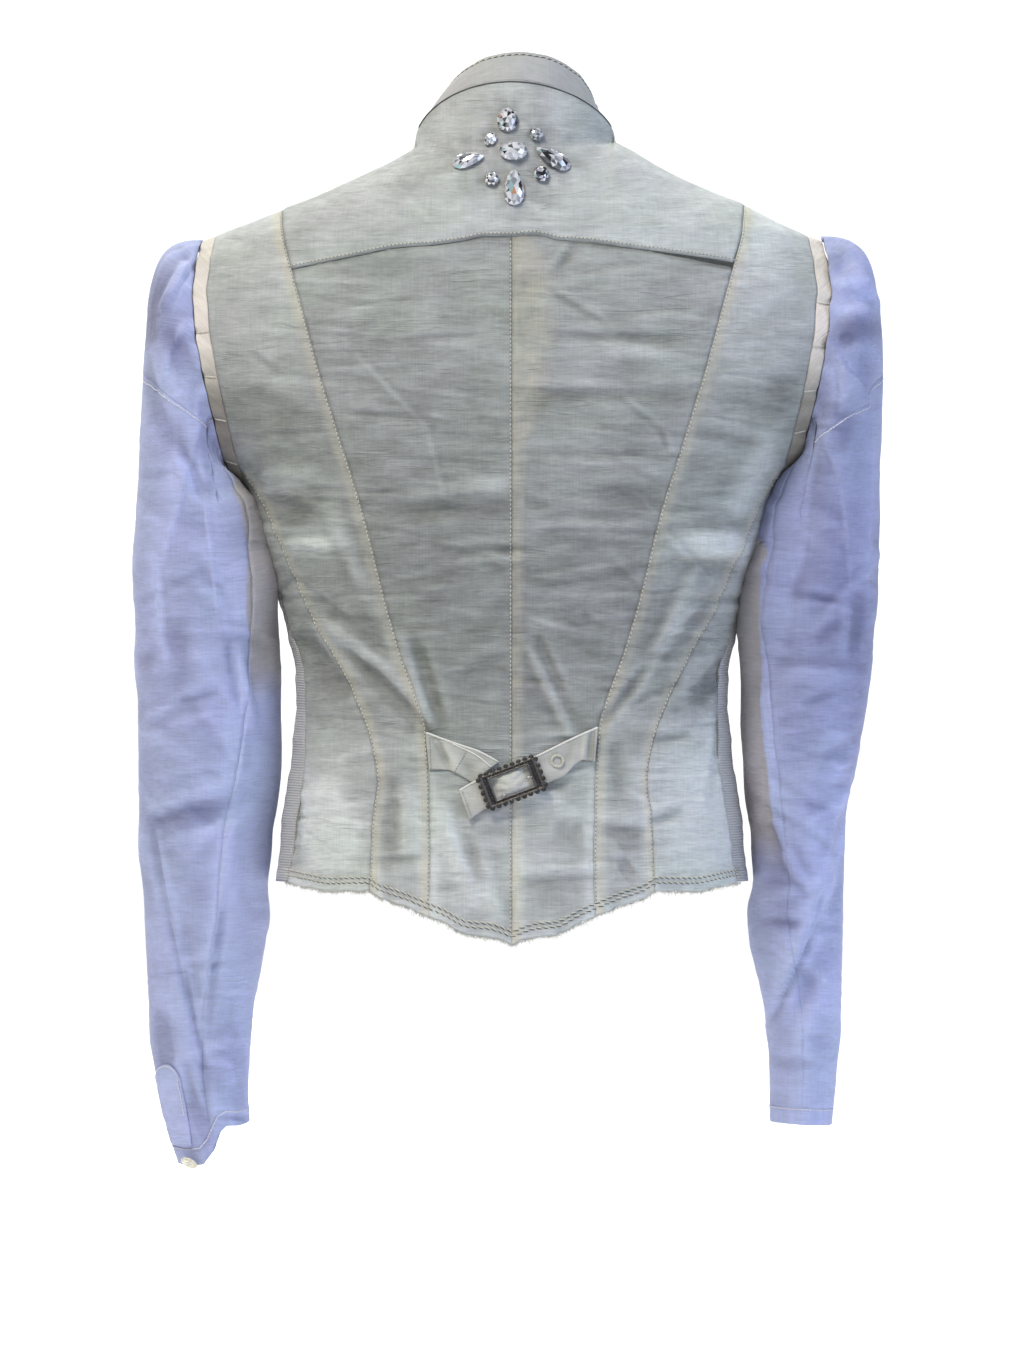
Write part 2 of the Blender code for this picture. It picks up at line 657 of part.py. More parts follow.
def sleeve_folds(hand, angle, z):
    """How far in the folds press the sleeve at an angle and height: soft troughs along lines."""
    press = np.zeros(np.broadcast(angle, z).shape)
    radius = 42 * MM
    for row in SLEEVE_FOLDS[hand]:
        fold = dict(zip(FOLD_COLUMNS, row))
        start = np.array([math.radians(fold["from_angle"]) * radius, fold["from_z"] * MM])
        along = np.array([math.radians(fold["to_angle"]) * radius, fold["to_z"] * MM]) - start
        offset = np.stack(np.broadcast_arrays(angle * radius, z), axis=-1) - start
        share = np.clip(offset @ along / (along @ along), -0.3, 1.3)
        nearest = np.clip(share, 0, 1)
        distance = np.linalg.norm(offset - nearest[..., None] * along, axis=-1)
        press += fold["depth"] * MM * np.exp(-(distance / (fold["width"] * MM)) ** 2)
    return press


def sleeve_ring(hand, angle, z):
    """The sleeve's section at height z, tilted as the arm hangs: angle 0 is the outer side."""
    tilt = curve_through(in_metres(SLEEVE_OUTLINES[hand]["tilt"]), z)
    outer = sleeve_outline(hand, "outer", z + tilt)
    inner = sleeve_outline(hand, "inner", z - tilt)
    depth = curve_through(in_metres(SLEEVE_DEPTH_ROWS), z)
    pitch = curve_through(in_metres(SLEEVE_PITCH_ROWS), z)
    x = (outer + inner) / 2 + (outer - inner) / 2 * np.cos(angle)
    y = pitch + depth * np.sin(angle)
    height = z + tilt * np.cos(angle)
    points = np.stack(np.broadcast_arrays(x, y, height), axis=-1)
    out = np.stack(np.broadcast_arrays(np.cos(angle), np.sin(angle), 0 * z), axis=-1)
    folds = np.minimum(sleeve_folds(hand, wrap(angle), height), 0.25 * (outer - inner))
    return points - out * folds[..., None]


def wrap(angle):
    """An angle between minus and plus half a turn."""
    return (angle + math.pi) % (2 * math.pi) - math.pi


def sleeve_head(hand, angle, part):
    """The loft from the binding to the arm: part 0 is at the binding, 1 the ring under the arm."""
    top_share = (1 + np.cos(angle)) / 2
    start = armhole_line(wrap(angle)) + binding_way(angle) * (BINDING_WIDTH + SLEEVE_CLEARANCE)
    out = np.stack([np.ones_like(angle), 0.25 * np.sin(angle), 0.04 * np.cos(angle)], axis=-1)
    leave = start + out * ((6 + 34 * top_share ** 1.5) * MM)[..., None]
    end = sleeve_ring(hand, angle, np.full_like(angle, HEAD_END))
    rise = np.stack([-0.06 * top_share, 0 * angle, np.ones_like(angle)], axis=-1)
    arrive = end + rise * ((12 + 128 * top_share ** 1.9) * MM)[..., None]
    part = np.asarray(part)[..., None]
    return ((1 - part) ** 3 * start + 3 * (1 - part) ** 2 * part * leave
            + 3 * (1 - part) * part ** 2 * arrive + part ** 3 * end)


def sleeve_point(hand, angle, run):
    """The whole sleeve: run 0 to 1 is the head, 1 to 2 the arm down to the cuff's lower edge."""
    angle, run = np.broadcast_arrays(np.asarray(angle, float), np.asarray(run, float))
    head = sleeve_head(hand, angle, np.clip(run, 0, 1))
    end = SLEEVE_OUTLINES[hand]["end"] * MM
    z = HEAD_END + (end - HEAD_END) * np.clip(run - 1, 0, 1)
    arm = sleeve_ring(hand, angle, z)
    points = np.where((run < 1)[..., None], head, arm)
    return points * np.array([hand, 1, 1])


def cap_seam(hand, angle):
    """How far along the head the seam across the upper arm lies at each angle."""
    share = np.clip(np.abs(wrap(angle)) / CAP_REACH, 0, 1)
    height = (-176 - 34 * share ** 1.4) * MM
    parts = np.linspace(0, 1, 120)
    line = sleeve_head(hand, np.repeat(angle[:, None], 120, axis=1),
                       np.repeat(parts[None], len(angle), axis=0))
    below = line[..., 2] <= height[:, None]
    return np.maximum(parts[np.argmax(below, axis=1)], 0.05)


def back_seam_angle(hand, run):
    """The angle of the sleeve's back seam at each run."""
    end = SLEEVE_OUTLINES[hand]["end"] * MM
    z = HEAD_END + (end - HEAD_END) * (run - 1)
    rows = [(height * MM, math.radians(angle)) for height, angle in SLEEVE_SEAM_ROWS]
    return curve_through(rows, np.where(run < 1, HEAD_END + 60 * MM * (1 - run), z))


def cuff_run(hand):
    """The run at which the cuff's seam lies."""
    end = SLEEVE_OUTLINES[hand]["end"] * MM
    return 2 - CUFF_DEPTH / (HEAD_END - end)


def sleeve_runs(first, last, head_rows, arm_rows):
    """Runs from first to last for each column, with rows shared between head and arm."""
    head = np.linspace(0, 1, head_rows + 1)[:, None] * (1 - first) + first
    arm = 1 + (last - 1) * np.linspace(0, 1, arm_rows + 1)[1:, None]
    return np.concatenate([head, np.broadcast_to(arm, (arm_rows, len(first)))])


def sleeve_centre(hand):
    """A point inside the sleeve, to tell which way is out."""
    return np.array([hand * 185 * MM, -5 * MM, -400 * MM])


def make_sleeve(hand, word):
    """Cap, upper sleeve, under sleeve, cuff, placket and button of one arm."""
    step = math.radians(2)
    cap_angles = np.linspace(-CAP_REACH + step / 2, CAP_REACH - step / 2, 17)
    seam_run = cap_seam(hand, cap_angles)
    runs = seam_run * np.linspace(0, 1, 6)[:, None]
    grid = sleeve_point(hand, np.broadcast_to(cap_angles, runs.shape), runs)
    cap_centre = np.array([hand * 175 * MM, 0, -180 * MM])
    wall("sleeve_cap_" + word, inset(grid, 0, SLEEVE_INSET, SEAM_INSET, SEAM_INSET),
         "sleeve_linen", SLEEVE_CLOTH, away_from=cap_centre)

    last = cuff_run(hand)
    base = back_seam_angle(hand, np.zeros(1))[0]
    angles = np.concatenate([[SEAM_ANGLE_FRONT, -CAP_REACH - step / 2], cap_angles,
                             [CAP_REACH + step / 2, base]])
    share = (angles - SEAM_ANGLE_FRONT) / (base - SEAM_ANGLE_FRONT)
    under_cap = np.abs(angles) < CAP_REACH
    first = np.where(under_cap, cap_seam(hand, angles), 0.0)
    runs = sleeve_runs(first, last, 5, 13)
    seam_angle = back_seam_angle(hand, runs)
    arm_angles = SEAM_ANGLE_FRONT + (seam_angle - SEAM_ANGLE_FRONT) * share
    head_angles = angles + (arm_angles - angles) * runs ** 2
    grid = sleeve_point(hand, np.where(runs < 1, head_angles, arm_angles), runs)
    grid = inset(grid, SLEEVE_INSET, SEAM_INSET, SLEEVE_INSET, SLEEVE_INSET)
    wall("sleeve_upper_" + word, grid, "sleeve_linen", SLEEVE_CLOTH, away_from=sleeve_centre(hand))

    share = np.linspace(0, 1, 9)
    runs = sleeve_runs(np.zeros(9), last, 5, 13)
    seam_angle = back_seam_angle(hand, runs)
    seam_angle = np.where(runs < 1, base + (seam_angle - base) * runs ** 2, seam_angle)
    under = seam_angle + (SEAM_ANGLE_FRONT + 2 * math.pi - seam_angle) * share
    grid = sleeve_point(hand, under, runs)
    grid = inset(grid, 0, SEAM_INSET, SLEEVE_INSET, SLEEVE_INSET)
    wall("sleeve_under_" + word, grid, "sleeve_linen", SLEEVE_CLOTH, away_from=sleeve_centre(hand))

    around = np.linspace(0, 2 * math.pi, 25)[:-1]
    runs = np.linspace(last, 2, 3)[:, None] * np.ones(24)
    grid = sleeve_point(hand, np.broadcast_to(around, runs.shape), runs)
    grid = inset_ring(grid, SEAM_INSET)
    wall("cuff_" + word, grid, "sleeve_linen", FOLDED_CLOTH, True, cuff_centre(hand))
    make_placket(hand, word)


def inset_ring(grid, distance):
    """Moves the top edge of a closed ring down along the cloth."""
    grid = np.array(grid)
    way = grid[1] - grid[0]
    grid[0] += distance * way / np.linalg.norm(way, axis=-1, keepdims=True)
    return grid


def cuff_centre(hand):
    """The middle of the cuff."""
    end = SLEEVE_OUTLINES[hand]["end"] * MM
    return np.array([hand * 182 * MM, -27 * MM, end])


def sleeve_out(hand, angle, run):
    """Outward unit normals of the sleeve."""
    turn, slide = math.radians(2), 0.01
    round_way = sleeve_point(hand, angle + turn, run) - sleeve_point(hand, angle - turn, run)
    down_way = sleeve_point(hand, angle, run) - sleeve_point(hand, angle, run - slide)
    normals = hand * np.cross(round_way, down_way)
    normals = normals / np.linalg.norm(normals, axis=-1, keepdims=True)
    return -normals


def make_placket(hand, word):
    """The placket with its round top, laid on the sleeve, and the button at the cuff."""
    middle = math.radians(46 if hand > 0 else -46)
    half = math.radians(20)
    last = cuff_run(hand)
    end = SLEEVE_OUTLINES[hand]["end"] * MM
    top = 1 + (-594 * MM - HEAD_END) / (end - HEAD_END)
    across = np.linspace(-1, 1, 7)
    round_top = top + 0.035 * (1 - np.sqrt(1 - 0.92 * across ** 2))
    low = last - 0.004
    runs = round_top + (low - round_top) * np.linspace(0, 1, 6)[:, None]
    angles = np.broadcast_to(middle + half * across, runs.shape)
    lift = LAY_GAP + CLOTH
    grid = sleeve_point(hand, angles, runs) + sleeve_out(hand, angles, runs) * lift
    wall("sleeve_placket_" + word, grid, "sleeve_linen", away_from=cuff_centre(hand))
    angle, run = np.array(middle + math.radians(14) * hand), np.array(2 - 0.012)
    out = sleeve_out(hand, angle, run)
    foot = sleeve_point(hand, angle, run) + out * LAY_GAP
    make_button("cuff_button_" + word, foot, out)


# Strap and buckle

def strap_grid(outline, lift, columns, rows=3):
    """A strap between its upper and lower edges, laid above the back."""
    share = np.linspace(0, 1, columns + 1)
    edges = []
    for name in ("upper", "lower"):
        points = np.array(outline[name], float) * MM
        keys = np.linspace(0, 1, len(points))
        edges.append(np.stack([curve_through(list(zip(keys, points[:, axis])), share)
                               for axis in (0, 1)], axis=-1))
    across = np.linspace(0, 1, rows)[:, None, None]
    flat = edges[0] + (edges[1] - edges[0]) * across
    return lifted(flat[..., 0], flat[..., 1], np.full(flat.shape[:2], lift))


def make_strap():
    """Both halves of the waist strap, the eyelet, and the buckle that lies on them."""
    low = LAY_GAP + CLOTH
    high = low + LAY_GAP + CLOTH
    wall("strap_left", strap_grid(STRAP_LEFT, low, 8), "strap_linen")
    wall("strap_right", strap_grid(STRAP_RIGHT, high, 14), "strap_linen")
    make_eyelet(high + LAY_GAP)
    make_buckle()


def make_eyelet(lift):
    """The ring of the eyelet, flat on the right strap."""
    ring_radius, wire_radius = 3.2 * MM, 0.55 * MM
    bpy.ops.mesh.primitive_torus_add(major_segments=16, minor_segments=6,
                                     major_radius=ring_radius, minor_radius=wire_radius)
    ring = bpy.context.object
    mesh = ring.data
    bpy.data.objects.remove(ring)
    thing = new_object("strap_eyelet", mesh, "strap_linen")
    x, z = EYELET_PLACE
    out = body_normals(x, z, 1)
    thing.location = lifted(x, z, lift + wire_radius)
    thing.rotation_euler = out_rotation(out)
    mesh.shade_smooth()


def scalloped_outline(size, counts, bulge):
    """A rectangle whose sides are rows of small outward arcs."""
    half = np.array(size) / 2 - bulge
    corners = [half * corner for corner in ((-1, -1), (1, -1), (1, 1), (-1, 1))]
    points = []
    for number, corner in enumerate(corners):
        after = corners[(number + 1) % 4]
        count = counts[number % 2]
        along = (after - corner) / count
        outward = np.array([along[1], -along[0]]) / np.linalg.norm(along)
        for scallop in range(count):
            for part in (0.0, 0.25, 0.5, 0.75):
                rise = bulge * math.sin(math.pi * part) ** 0.6
                points.append(corner + along * (scallop + part) + outward * rise)
    return points


def flat_shape(name, outlines, thickness, material):
    """A flat outline with holes, as a filled curve with thickness, made a mesh."""
    curve = bpy.data.curves.new(name, "CURVE")
    curve.dimensions = "2D"
    curve.fill_mode = "BOTH"
    curve.extrude = thickness / 2
    for outline in outlines:
        spline = curve.splines.new("POLY")
        spline.points.add(len(outline) - 1)
        for point, place in zip(spline.points, outline):
            point.co = (place[0], place[1], 0, 1)
        spline.use_cyclic_u = True
    return new_object(name, curve, material)


def make_buckle():
    """The scalloped frame and its prong, flat above the strap and tilted with it."""
    x, z = BUCKLE_CENTRE
    out = body_normals(x, z, 1)
    half_window = np.array(BUCKLE_WINDOW) / 2
    window = [half_window * corner for corner in ((-1, -1), (1, -1), (1, 1), (-1, 1))]
    outline = scalloped_outline(BUCKLE_SIZE, BUCKLE_SCALLOPS, 0.9 * MM)
    frame = flat_shape("buckle_frame", (outline, window), BUCKLE_THICKNESS, "pewter")
    frame.location = lifted(x, z, BUCKLE_LIFT + BUCKLE_THICKNESS / 2)
    frame.rotation_euler = out_rotation(out, BUCKLE_TILT)

    bpy.ops.mesh.primitive_cylinder_add(vertices=10, radius=0.8 * MM, depth=20 * MM)
    rod = bpy.context.object
    mesh = rod.data
    bpy.data.objects.remove(rod)
    prong = new_object("buckle_prong", mesh, "pewter")
    prong.location = lifted(x, z, BUCKLE_LIFT + 0.1 * MM)
    turn = out_rotation(out, BUCKLE_TILT)
    prong.rotation_euler = turn
    mesh.transform(quarter_turn())
    mesh.shade_smooth()
    mesh.set_sharp_from_angle(angle=math.radians(50))


def quarter_turn():
    """A quarter turn about Y, which lays a rod along X."""
    return Matrix.Rotation(math.pi / 2, 4, "Y")


# Crystals

def stone_outline(count, length, width, point):
    """An oval, or a drop whose +X end is drawn out to a blunt point."""
    turn = np.linspace(0, 2 * math.pi, count, endpoint=False)
    taper = 1 - point * np.clip(np.cos(turn), 0, 1) ** 1.5
    return np.stack([length / 2 * np.cos(turn), width / 2 * np.sin(turn) * taper], axis=-1)


def make_crystal(name, row):
    """A flat-backed stone: girdle, sloping crown facets and a flat table on top."""
    size = dict(zip(CRYSTAL_COLUMNS, row))
    count = 12
    outline = stone_outline(count, size["length"] * MM, size["width"] * MM, size["point"])
    height = size["height"] * MM
    levels = ((0.0, 0.86), (0.30, 1.0), (0.72, 0.82), (1.0, 0.52))
    rings = [np.column_stack([outline * scale, np.full(count, height * level)])
             for level, scale in levels]
    mesh = bpy.data.meshes.new(name)
    faces = []
    for level in range(len(levels) - 1):
        for corner in range(count):
            after = (corner + 1) % count
            faces.append((level * count + corner, level * count + after,
                          (level + 1) * count + after, (level + 1) * count + corner))
    faces.append(tuple(range(count - 1, -1, -1)))
    faces.append(tuple(range((len(levels) - 1) * count, len(levels) * count)))
    mesh.from_pydata(np.concatenate(rings).tolist(), [], faces)
    thing = new_object(name, mesh, "crystal")
    x, z = size["across"] * MM, size["up"] * MM
    out = body_normals(x, z, 1)
    thing.location = lifted(x, z, 2 * LAY_GAP)
    thing.rotation_euler = out_rotation(out, math.radians(size["turn"]))


def main():
    """Builds the whole garment."""
    for thing in list(bpy.data.objects):
        bpy.data.objects.remove(thing)
    collection = bpy.data.collections.new(COLLECTION)
    bpy.context.scene.collection.children.link(collection)
    make_yoke()
    for hand, word in ((1, "left"), (-1, "right")):
        make_back_panels(hand, word)
        make_rib(hand, word)
        make_front(hand, word)
        make_binding(hand, word)
        make_sleeve(hand, word)
    make_collar()
    make_front_band()
    make_strap()
    for name, row in CRYSTALS.items():
        make_crystal(name, row)


FRONT_NOTCH = find_front_notch()
main()
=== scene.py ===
# %% [markdown]
# # A fitted vest-jacket in sheer linen, seen from the back
# The garment is a short vest of washed linen with set-in shirt sleeves, crystals on the yoke and a
# small buckled strap at the waist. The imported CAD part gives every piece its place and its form.
# Here each plain cloth solid is replaced by a much finer sheet on the same surface, because folds,
# puckered seams and thread only show on a dense grid.

# %% The fixed frame
import math

import bmesh
import bpy
import numpy as np
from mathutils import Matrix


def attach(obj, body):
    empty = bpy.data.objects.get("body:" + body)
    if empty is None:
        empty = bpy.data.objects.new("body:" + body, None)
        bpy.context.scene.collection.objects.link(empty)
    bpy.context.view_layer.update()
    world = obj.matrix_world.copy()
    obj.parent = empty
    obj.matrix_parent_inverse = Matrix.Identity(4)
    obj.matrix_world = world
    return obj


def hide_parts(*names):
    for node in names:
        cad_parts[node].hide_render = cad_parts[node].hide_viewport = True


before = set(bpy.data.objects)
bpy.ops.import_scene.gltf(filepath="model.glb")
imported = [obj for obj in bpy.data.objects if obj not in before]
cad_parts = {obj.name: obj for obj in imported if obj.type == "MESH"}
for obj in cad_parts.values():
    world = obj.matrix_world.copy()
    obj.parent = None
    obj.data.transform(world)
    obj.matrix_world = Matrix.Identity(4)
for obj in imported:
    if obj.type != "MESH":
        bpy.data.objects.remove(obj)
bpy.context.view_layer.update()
MM = 0.001
HANDS = ((1, "left"), (-1, "right"))

# %% [markdown]
# ## Colours and nodes
# Dyes and metals are named by their sRGB hex values, as a dyer's card would give them. Blender's
# shaders work in linear light, so one function turns them. The others add the shader nodes.

# %% Small helpers for materials
def linear(code):
    """Linear light of an sRGB hex: c / 12.92 in the dark, else ((c + 0.055) / 1.055) to the 2.4."""
    parts = np.array([int(code[start:start + 2], 16) for start in (1, 3, 5)]) / 255
    light = np.where(parts <= 0.04045, parts / 12.92, ((parts + 0.055) / 1.055) ** 2.4)
    return (*light.tolist(), 1.0)


def wire(tree, node, links):
    """Links other nodes, or single outputs of them, into the sockets of one node."""
    for socket, source in links.items():
        start = source.outputs[0] if isinstance(source, bpy.types.Node) else source
        tree.links.new(start, node.inputs[socket])


def add(tree, kind, settings=None, values=None, links=None):
    """Adds one node, with its own settings, the values of its sockets and what links into them."""
    node = tree.nodes.new("ShaderNode" + kind)
    for name, value in (settings or {}).items():
        setattr(node, name, value)
    for socket, value in (values or {}).items():
        node.inputs[socket].default_value = value
    wire(tree, node, links or {})
    return node


def calc(tree, operation, *terms, clamp=False):
    """A Math node, whose terms are numbers, nodes or sockets."""
    values = {number: term for number, term in enumerate(terms) if isinstance(term, (int, float))}
    links = {number: term for number, term in enumerate(terms) if number not in values}
    return add(tree, "Math", {"operation": operation, "use_clamp": clamp}, values, links)


def remap(tree, source, low, high, to_low=0.0, to_high=1.0, way="LINEAR"):
    """Turns the range from low to high into another one, and clips what lies beyond."""
    return add(tree, "MapRange", {"interpolation_type": way},
               {"From Min": low, "From Max": high, "To Min": to_low, "To Max": to_high},
               {"Value": source})


def cloud(tree, scale, detail=2.0, rough=0.5, distortion=0.0, stretch=None):
    """Soft noise in the space of the piece, which may be stretched."""
    space = add(tree, "TexCoord").outputs["Object"]
    if stretch:
        space = add(tree, "Mapping", None, {"Scale": stretch}, {"Vector": space})
    values = {"Scale": scale, "Detail": detail, "Roughness": rough, "Distortion": distortion}
    return add(tree, "TexNoise", None, values, {"Vector": space})


def tinted(tree, dark, bright, share):
    """The colour at a share of the way from one sRGB hex to another."""
    values = {6: linear(dark), 7: linear(bright)}
    return add(tree, "Mix", {"data_type": "RGBA"}, values, {0: share}).outputs[2]


def fresh(name, **values):
    """A new material and its tree, whose Principled shader takes the values."""
    material = bpy.data.materials.new(name)
    material.use_nodes = True
    shader = material.node_tree.nodes["Principled BSDF"]
    for socket, value in values.items():
        shader.inputs[socket.replace("_", " ")].default_value = value
    return material, material.node_tree


def dress(tree, **links):
    """Links what was drawn into the sockets of the Principled shader."""
    sockets = {socket.replace("_", " "): source for socket, source in links.items()}
    wire(tree, tree.nodes["Principled BSDF"], sockets)


# %% [markdown]
# ## The woven linens
# Linen yarn is thick and thin by turns, so the cloth has level streaks, which are called slubs. The
# vest is so sheer that the dark hollow behind it shows: it looks grey-green where one layer hangs
# free, pale where it lies over another, and cream where the seam allowance doubles it. Two painted
# attributes carry that: one says how pale the spot is, and also holds painted shade and painted
# highlights of the folds and of the light's fall; the other is the distance from the seam in
# millimetres, which on the sleeves holds a painted grey shade instead. The real thread pitch is
# 0.45 mm, too fine for the picture, so the threads are drawn 1.1 mm apart.

# %% A woven material
THREAD = 1.1 * MM
ALLOWANCE = 6.6
CLOTH_NOISES = {  # scales along the cut cloth's two ways, detail and roughness
    "weft": (95, 1.1 / THREAD, 2.0, 0.6), "warp": (1.1 / THREAD, 45, 1.0, 0.6),
    "slub": (36, 0.3 / THREAD, 3.0, 0.6), "fine": (140, 0.7 / THREAD, 2.0, 0.6),
    "rumpled": (24, 105, 3.0, 0.5), "lines": (11, 150, 2.0, 0.45), "broken": (26, 44, 2.0, 0.5)}


def woven(name, shade, light, doubled_and_sleeve_shade, slub=1.0, sheen=0.15, blotch=0.3, weave=0.16, patch=0.5,
          creased=0.10):
    """Plain weave: colour by sheerness and painted shade, times level slubs, upright threads and painted
    crease shade, which also bump.
    """
    material, tree = fresh(name, Roughness=0.88, Specular_IOR_Level=0.25, Sheen_Weight=sheen,
                           Sheen_Roughness=0.5)
    cut = add(tree, "UVMap", {"uv_map": "cut"})
    noise = {}
    for part, (wide, high, detail, rough) in CLOTH_NOISES.items():
        way = add(tree, "Mapping", None, {"Scale": (wide, high, 1)}, {"Vector": cut})
        noise[part] = add(tree, "TexNoise", {"noise_dimensions": "2D"},
                          {"Scale": 1.0, "Detail": detail, "Roughness": rough}, {"Vector": way})

    # Sheerness and painted shade, with soft blotches, give the colour of one layer
    blotches = cloud(tree, 1.0, 4.0, 0.65, stretch=(34, 34, 85))
    patchy = remap(tree, blotches, 0.3, 0.7, -blotch / 2, blotch / 2)
    sheer = add(tree, "Attribute", {"attribute_name": "sheer"}).outputs["Fac"]
    pale = calc(tree, "ADD", sheer, patchy, clamp=True)
    single = tinted(tree, shade, light, pale)

    # Within the seam allowance the cloth is double, with a ragged edge and in patches, and darkens with
    # the same paleness, painted shade included. On the sleeves this mask is the painted grey shade of
    # the side facing the vest
    seam = add(tree, "Attribute", {"attribute_name": "allowance_and_sleeve_shade"}).outputs["Fac"]
    ragged = calc(tree, "MULTIPLY_ADD", patchy, 3.0, seam)
    within = remap(tree, ragged, ALLOWANCE - 3.2, ALLOWANCE + 1.8, 1.0, 0.0, "SMOOTHSTEP")
    patches = remap(tree, cloud(tree, 95.0), 0.35, 0.62, patch, 0.95)
    within = calc(tree, "MULTIPLY", within, patches)
    under = tuple(0.55 * value for value in linear(doubled_and_sleeve_shade)[:3]) + (1.0,)
    twofold = add(tree, "Mix", {"data_type": "RGBA"}, {6: under, 7: linear(doubled_and_sleeve_shade)}, {0: pale})
    colour = add(tree, "Mix", {"data_type": "RGBA"}, None,
                 {0: within, 6: single, 7: twofold.outputs[2]}).outputs[2]

    # The threads together, and how they lighten and darken the cloth
    tone = noise["weft"]
    for part, strength in (("slub", 0.9 * slub), ("warp", 0.5), ("fine", 0.6)):
        tone = calc(tree, "MULTIPLY_ADD", noise[part], strength, tone)
    middle = 0.5 * (2.1 + 0.9 * slub)
    gain = remap(tree, tone, middle - 0.45, middle + 0.45, 1 - weave, 1 + weave)

    # Two sets of sharp broken lines, which also bump: painted shade in the creases, and painted
    # highlight on pale lines beside them
    sharp = []
    for level, strength in ((0.47, -creased), (0.505, 0.8 * creased)):
        off = calc(tree, "ABSOLUTE", calc(tree, "SUBTRACT", noise["lines"], level))
        sharp.append(remap(tree, off, 0.0, 0.022, strength, 0.0))
    crease = calc(tree, "MULTIPLY", calc(tree, "ADD", *sharp), remap(tree, noise["broken"], 0.46, 0.62))

    # A faint drift of hue over the whole cloth
    drift = remap(tree, cloud(tree, 17.0, 4.0, 0.7), 0.38, 0.62)
    hue = tinted(tree, "#fffdff", "#fcfffa", drift)
    for factor in (calc(tree, "ADD", gain, crease), hue):
        colour = add(tree, "Mix", {"data_type": "RGBA", "blend_type": "MULTIPLY"}, {0: 1.0},
                     {6: colour, 7: factor}).outputs[2]
    height = calc(tree, "MULTIPLY_ADD", noise["rumpled"], 4.5, tone)
    height = calc(tree, "MULTIPLY_ADD", crease, 9.0, height)
    bump = add(tree, "Bump", None, {"Strength": 0.6, "Distance": 0.4 * MM}, {"Height": height})
    dress(tree, Base_Color=colour, Normal=bump)
    return material


CLOTHS = {
    # Washed sheer linen: matt, with a faint nap; shade is what the dark hollow makes of it, and also the
    # colour of painted shade
    "vest_linen": woven("sheer_vest_linen", "#797c79", "#d2d8d8", "#d0cfc3"),
    # The same linen twice folded, so nothing shows through
    "collar_linen": woven("doubled_collar_linen", "#8a8c8c", "#bdbfc0", "#d8d8cf", blotch=0.2,
                          weave=0.09, creased=0.03),
    # Unbleached linen tape, a warmer and tighter weave
    "binding_linen": woven("binding_linen", "#7b7771", "#e8e2da", "#dedad0", slub=0.4, blotch=0.2,
                           weave=0.12, creased=0.05),
    # Lavender shirt linen, lighter and softer than the vest; its third colour is the grey of painted
    # shade on the side facing the vest
    "sleeve_linen": woven("lavender_shirt_linen", "#6f7193", "#bac4ee", "#bab6ba", slub=0.7,
                          blotch=0.2, weave=0.12, patch=0.9, creased=0.05),
    # Washed off-white linen of the strap, soft with a low lustre
    "strap_linen": woven("off_white_strap_linen", "#7d7e79", "#cbccc8", "#e0dfd6", slub=0.3,
                         sheen=0.3, weave=0.08, creased=0.03),
}
print("cloths:", list(CLOTHS))

# %% [markdown]
# ## The body's surface
# A tailor's form would carry the panels. Here it is a formula: at each height the section is a
# rounded oval, whose half width and depths come from a short table, and seams are lines of width
# at height. These are the CAD part's own sizes, so each sheet lies on its solid.

# %% Curves and the body form
BODY_COLUMNS = ("z", "half_width", "back", "front", "middle", "roundness")
BODY_ROWS = (
    (30, 42, 36, 40, -8, 2), (0, 52, 56, 56, -8, 2), (-20, 56, 65.5, 66, -8, 2),
    (-37.5, 59, 73, 72, -8, 2), (-44, 68, 74.8, 75, -7, 2), (-55, 90, 77.5, 80, -5.5, 2),
    (-64.5, 111, 79.3, 84, -4, 2), (-71, 126, 80.4, 87, -3, 2), (-76.5, 141, 81.3, 90, -2, 2),
    (-84, 160, 82.6, 93, -1, 2), (-92, 180, 84, 96, 0, 2), (-100, 190, 86, 99, 0, 2),
    (-112, 203, 88.5, 102, 0, 2), (-130, 215, 92.5, 106, 0, 2.05),
    (-150, 217.5, 96.5, 110, 0, 2.1), (-171, 211.5, 99.5, 114, 0, 2.15),
    (-190, 202, 101.5, 117, 0, 2.18), (-212, 188, 102.5, 118.5, 0, 2.2),
    (-230, 175.5, 102, 118, 0, 2.22), (-248, 163, 101, 116, 0, 2.25),
    (-279, 155, 99, 110, 0, 2.25), (-310, 144, 94, 103, 0, 2.25), (-334, 138, 90.5, 99, 0, 2.25),
    (-360, 132.5, 88, 96, 0, 2.3), (-382, 132.5, 88, 96, 0, 2.3), (-404, 134, 90, 98, 0, 2.3),
    (-443, 140, 96, 103, 0, 2.25), (-486, 144, 103, 109, 0, 2.2), (-530, 147, 109, 114, 0, 2.2),
)
INNER_SEAM = ((-75, 141), (-94, 139), (-114, 134), (-138, 127.5), (-175, 117.5), (-209, 107),
              (-267, 89), (-315, 77), (-352, 66), (-376, 57), (-393, 52.5), (-419, 50.5),
              (-445, 50), (-470, 49.5), (-530, 51))
OUTER_SEAM = ((-236, 165.9), (-247, 158.5), (-258, 152), (-273, 145.5), (-292, 137), (-322, 124),
              (-346, 110), (-376, 95), (-400, 86), (-425, 82), (-450, 85), (-480, 86), (-530, 87))
RIB_BACK = ((-240, 0.996), (-300, 0.995), (-340, 0.975), (-360, 0.955), (-385, 0.95),
            (-426, 0.93), (-450, 0.935), (-490, 0.95))
YOKE_EDGE = ((-141, -113), (-132, -111), (-66, -102), (-44, -99), (-29, -98.2), (-19.5, -95.8),
             (-12, -94.8), (1, -96), (16, -96), (31, -98.8), (49, -101.2), (68, -102.5),
             (100, -108.5), (134, -115), (141, -116))
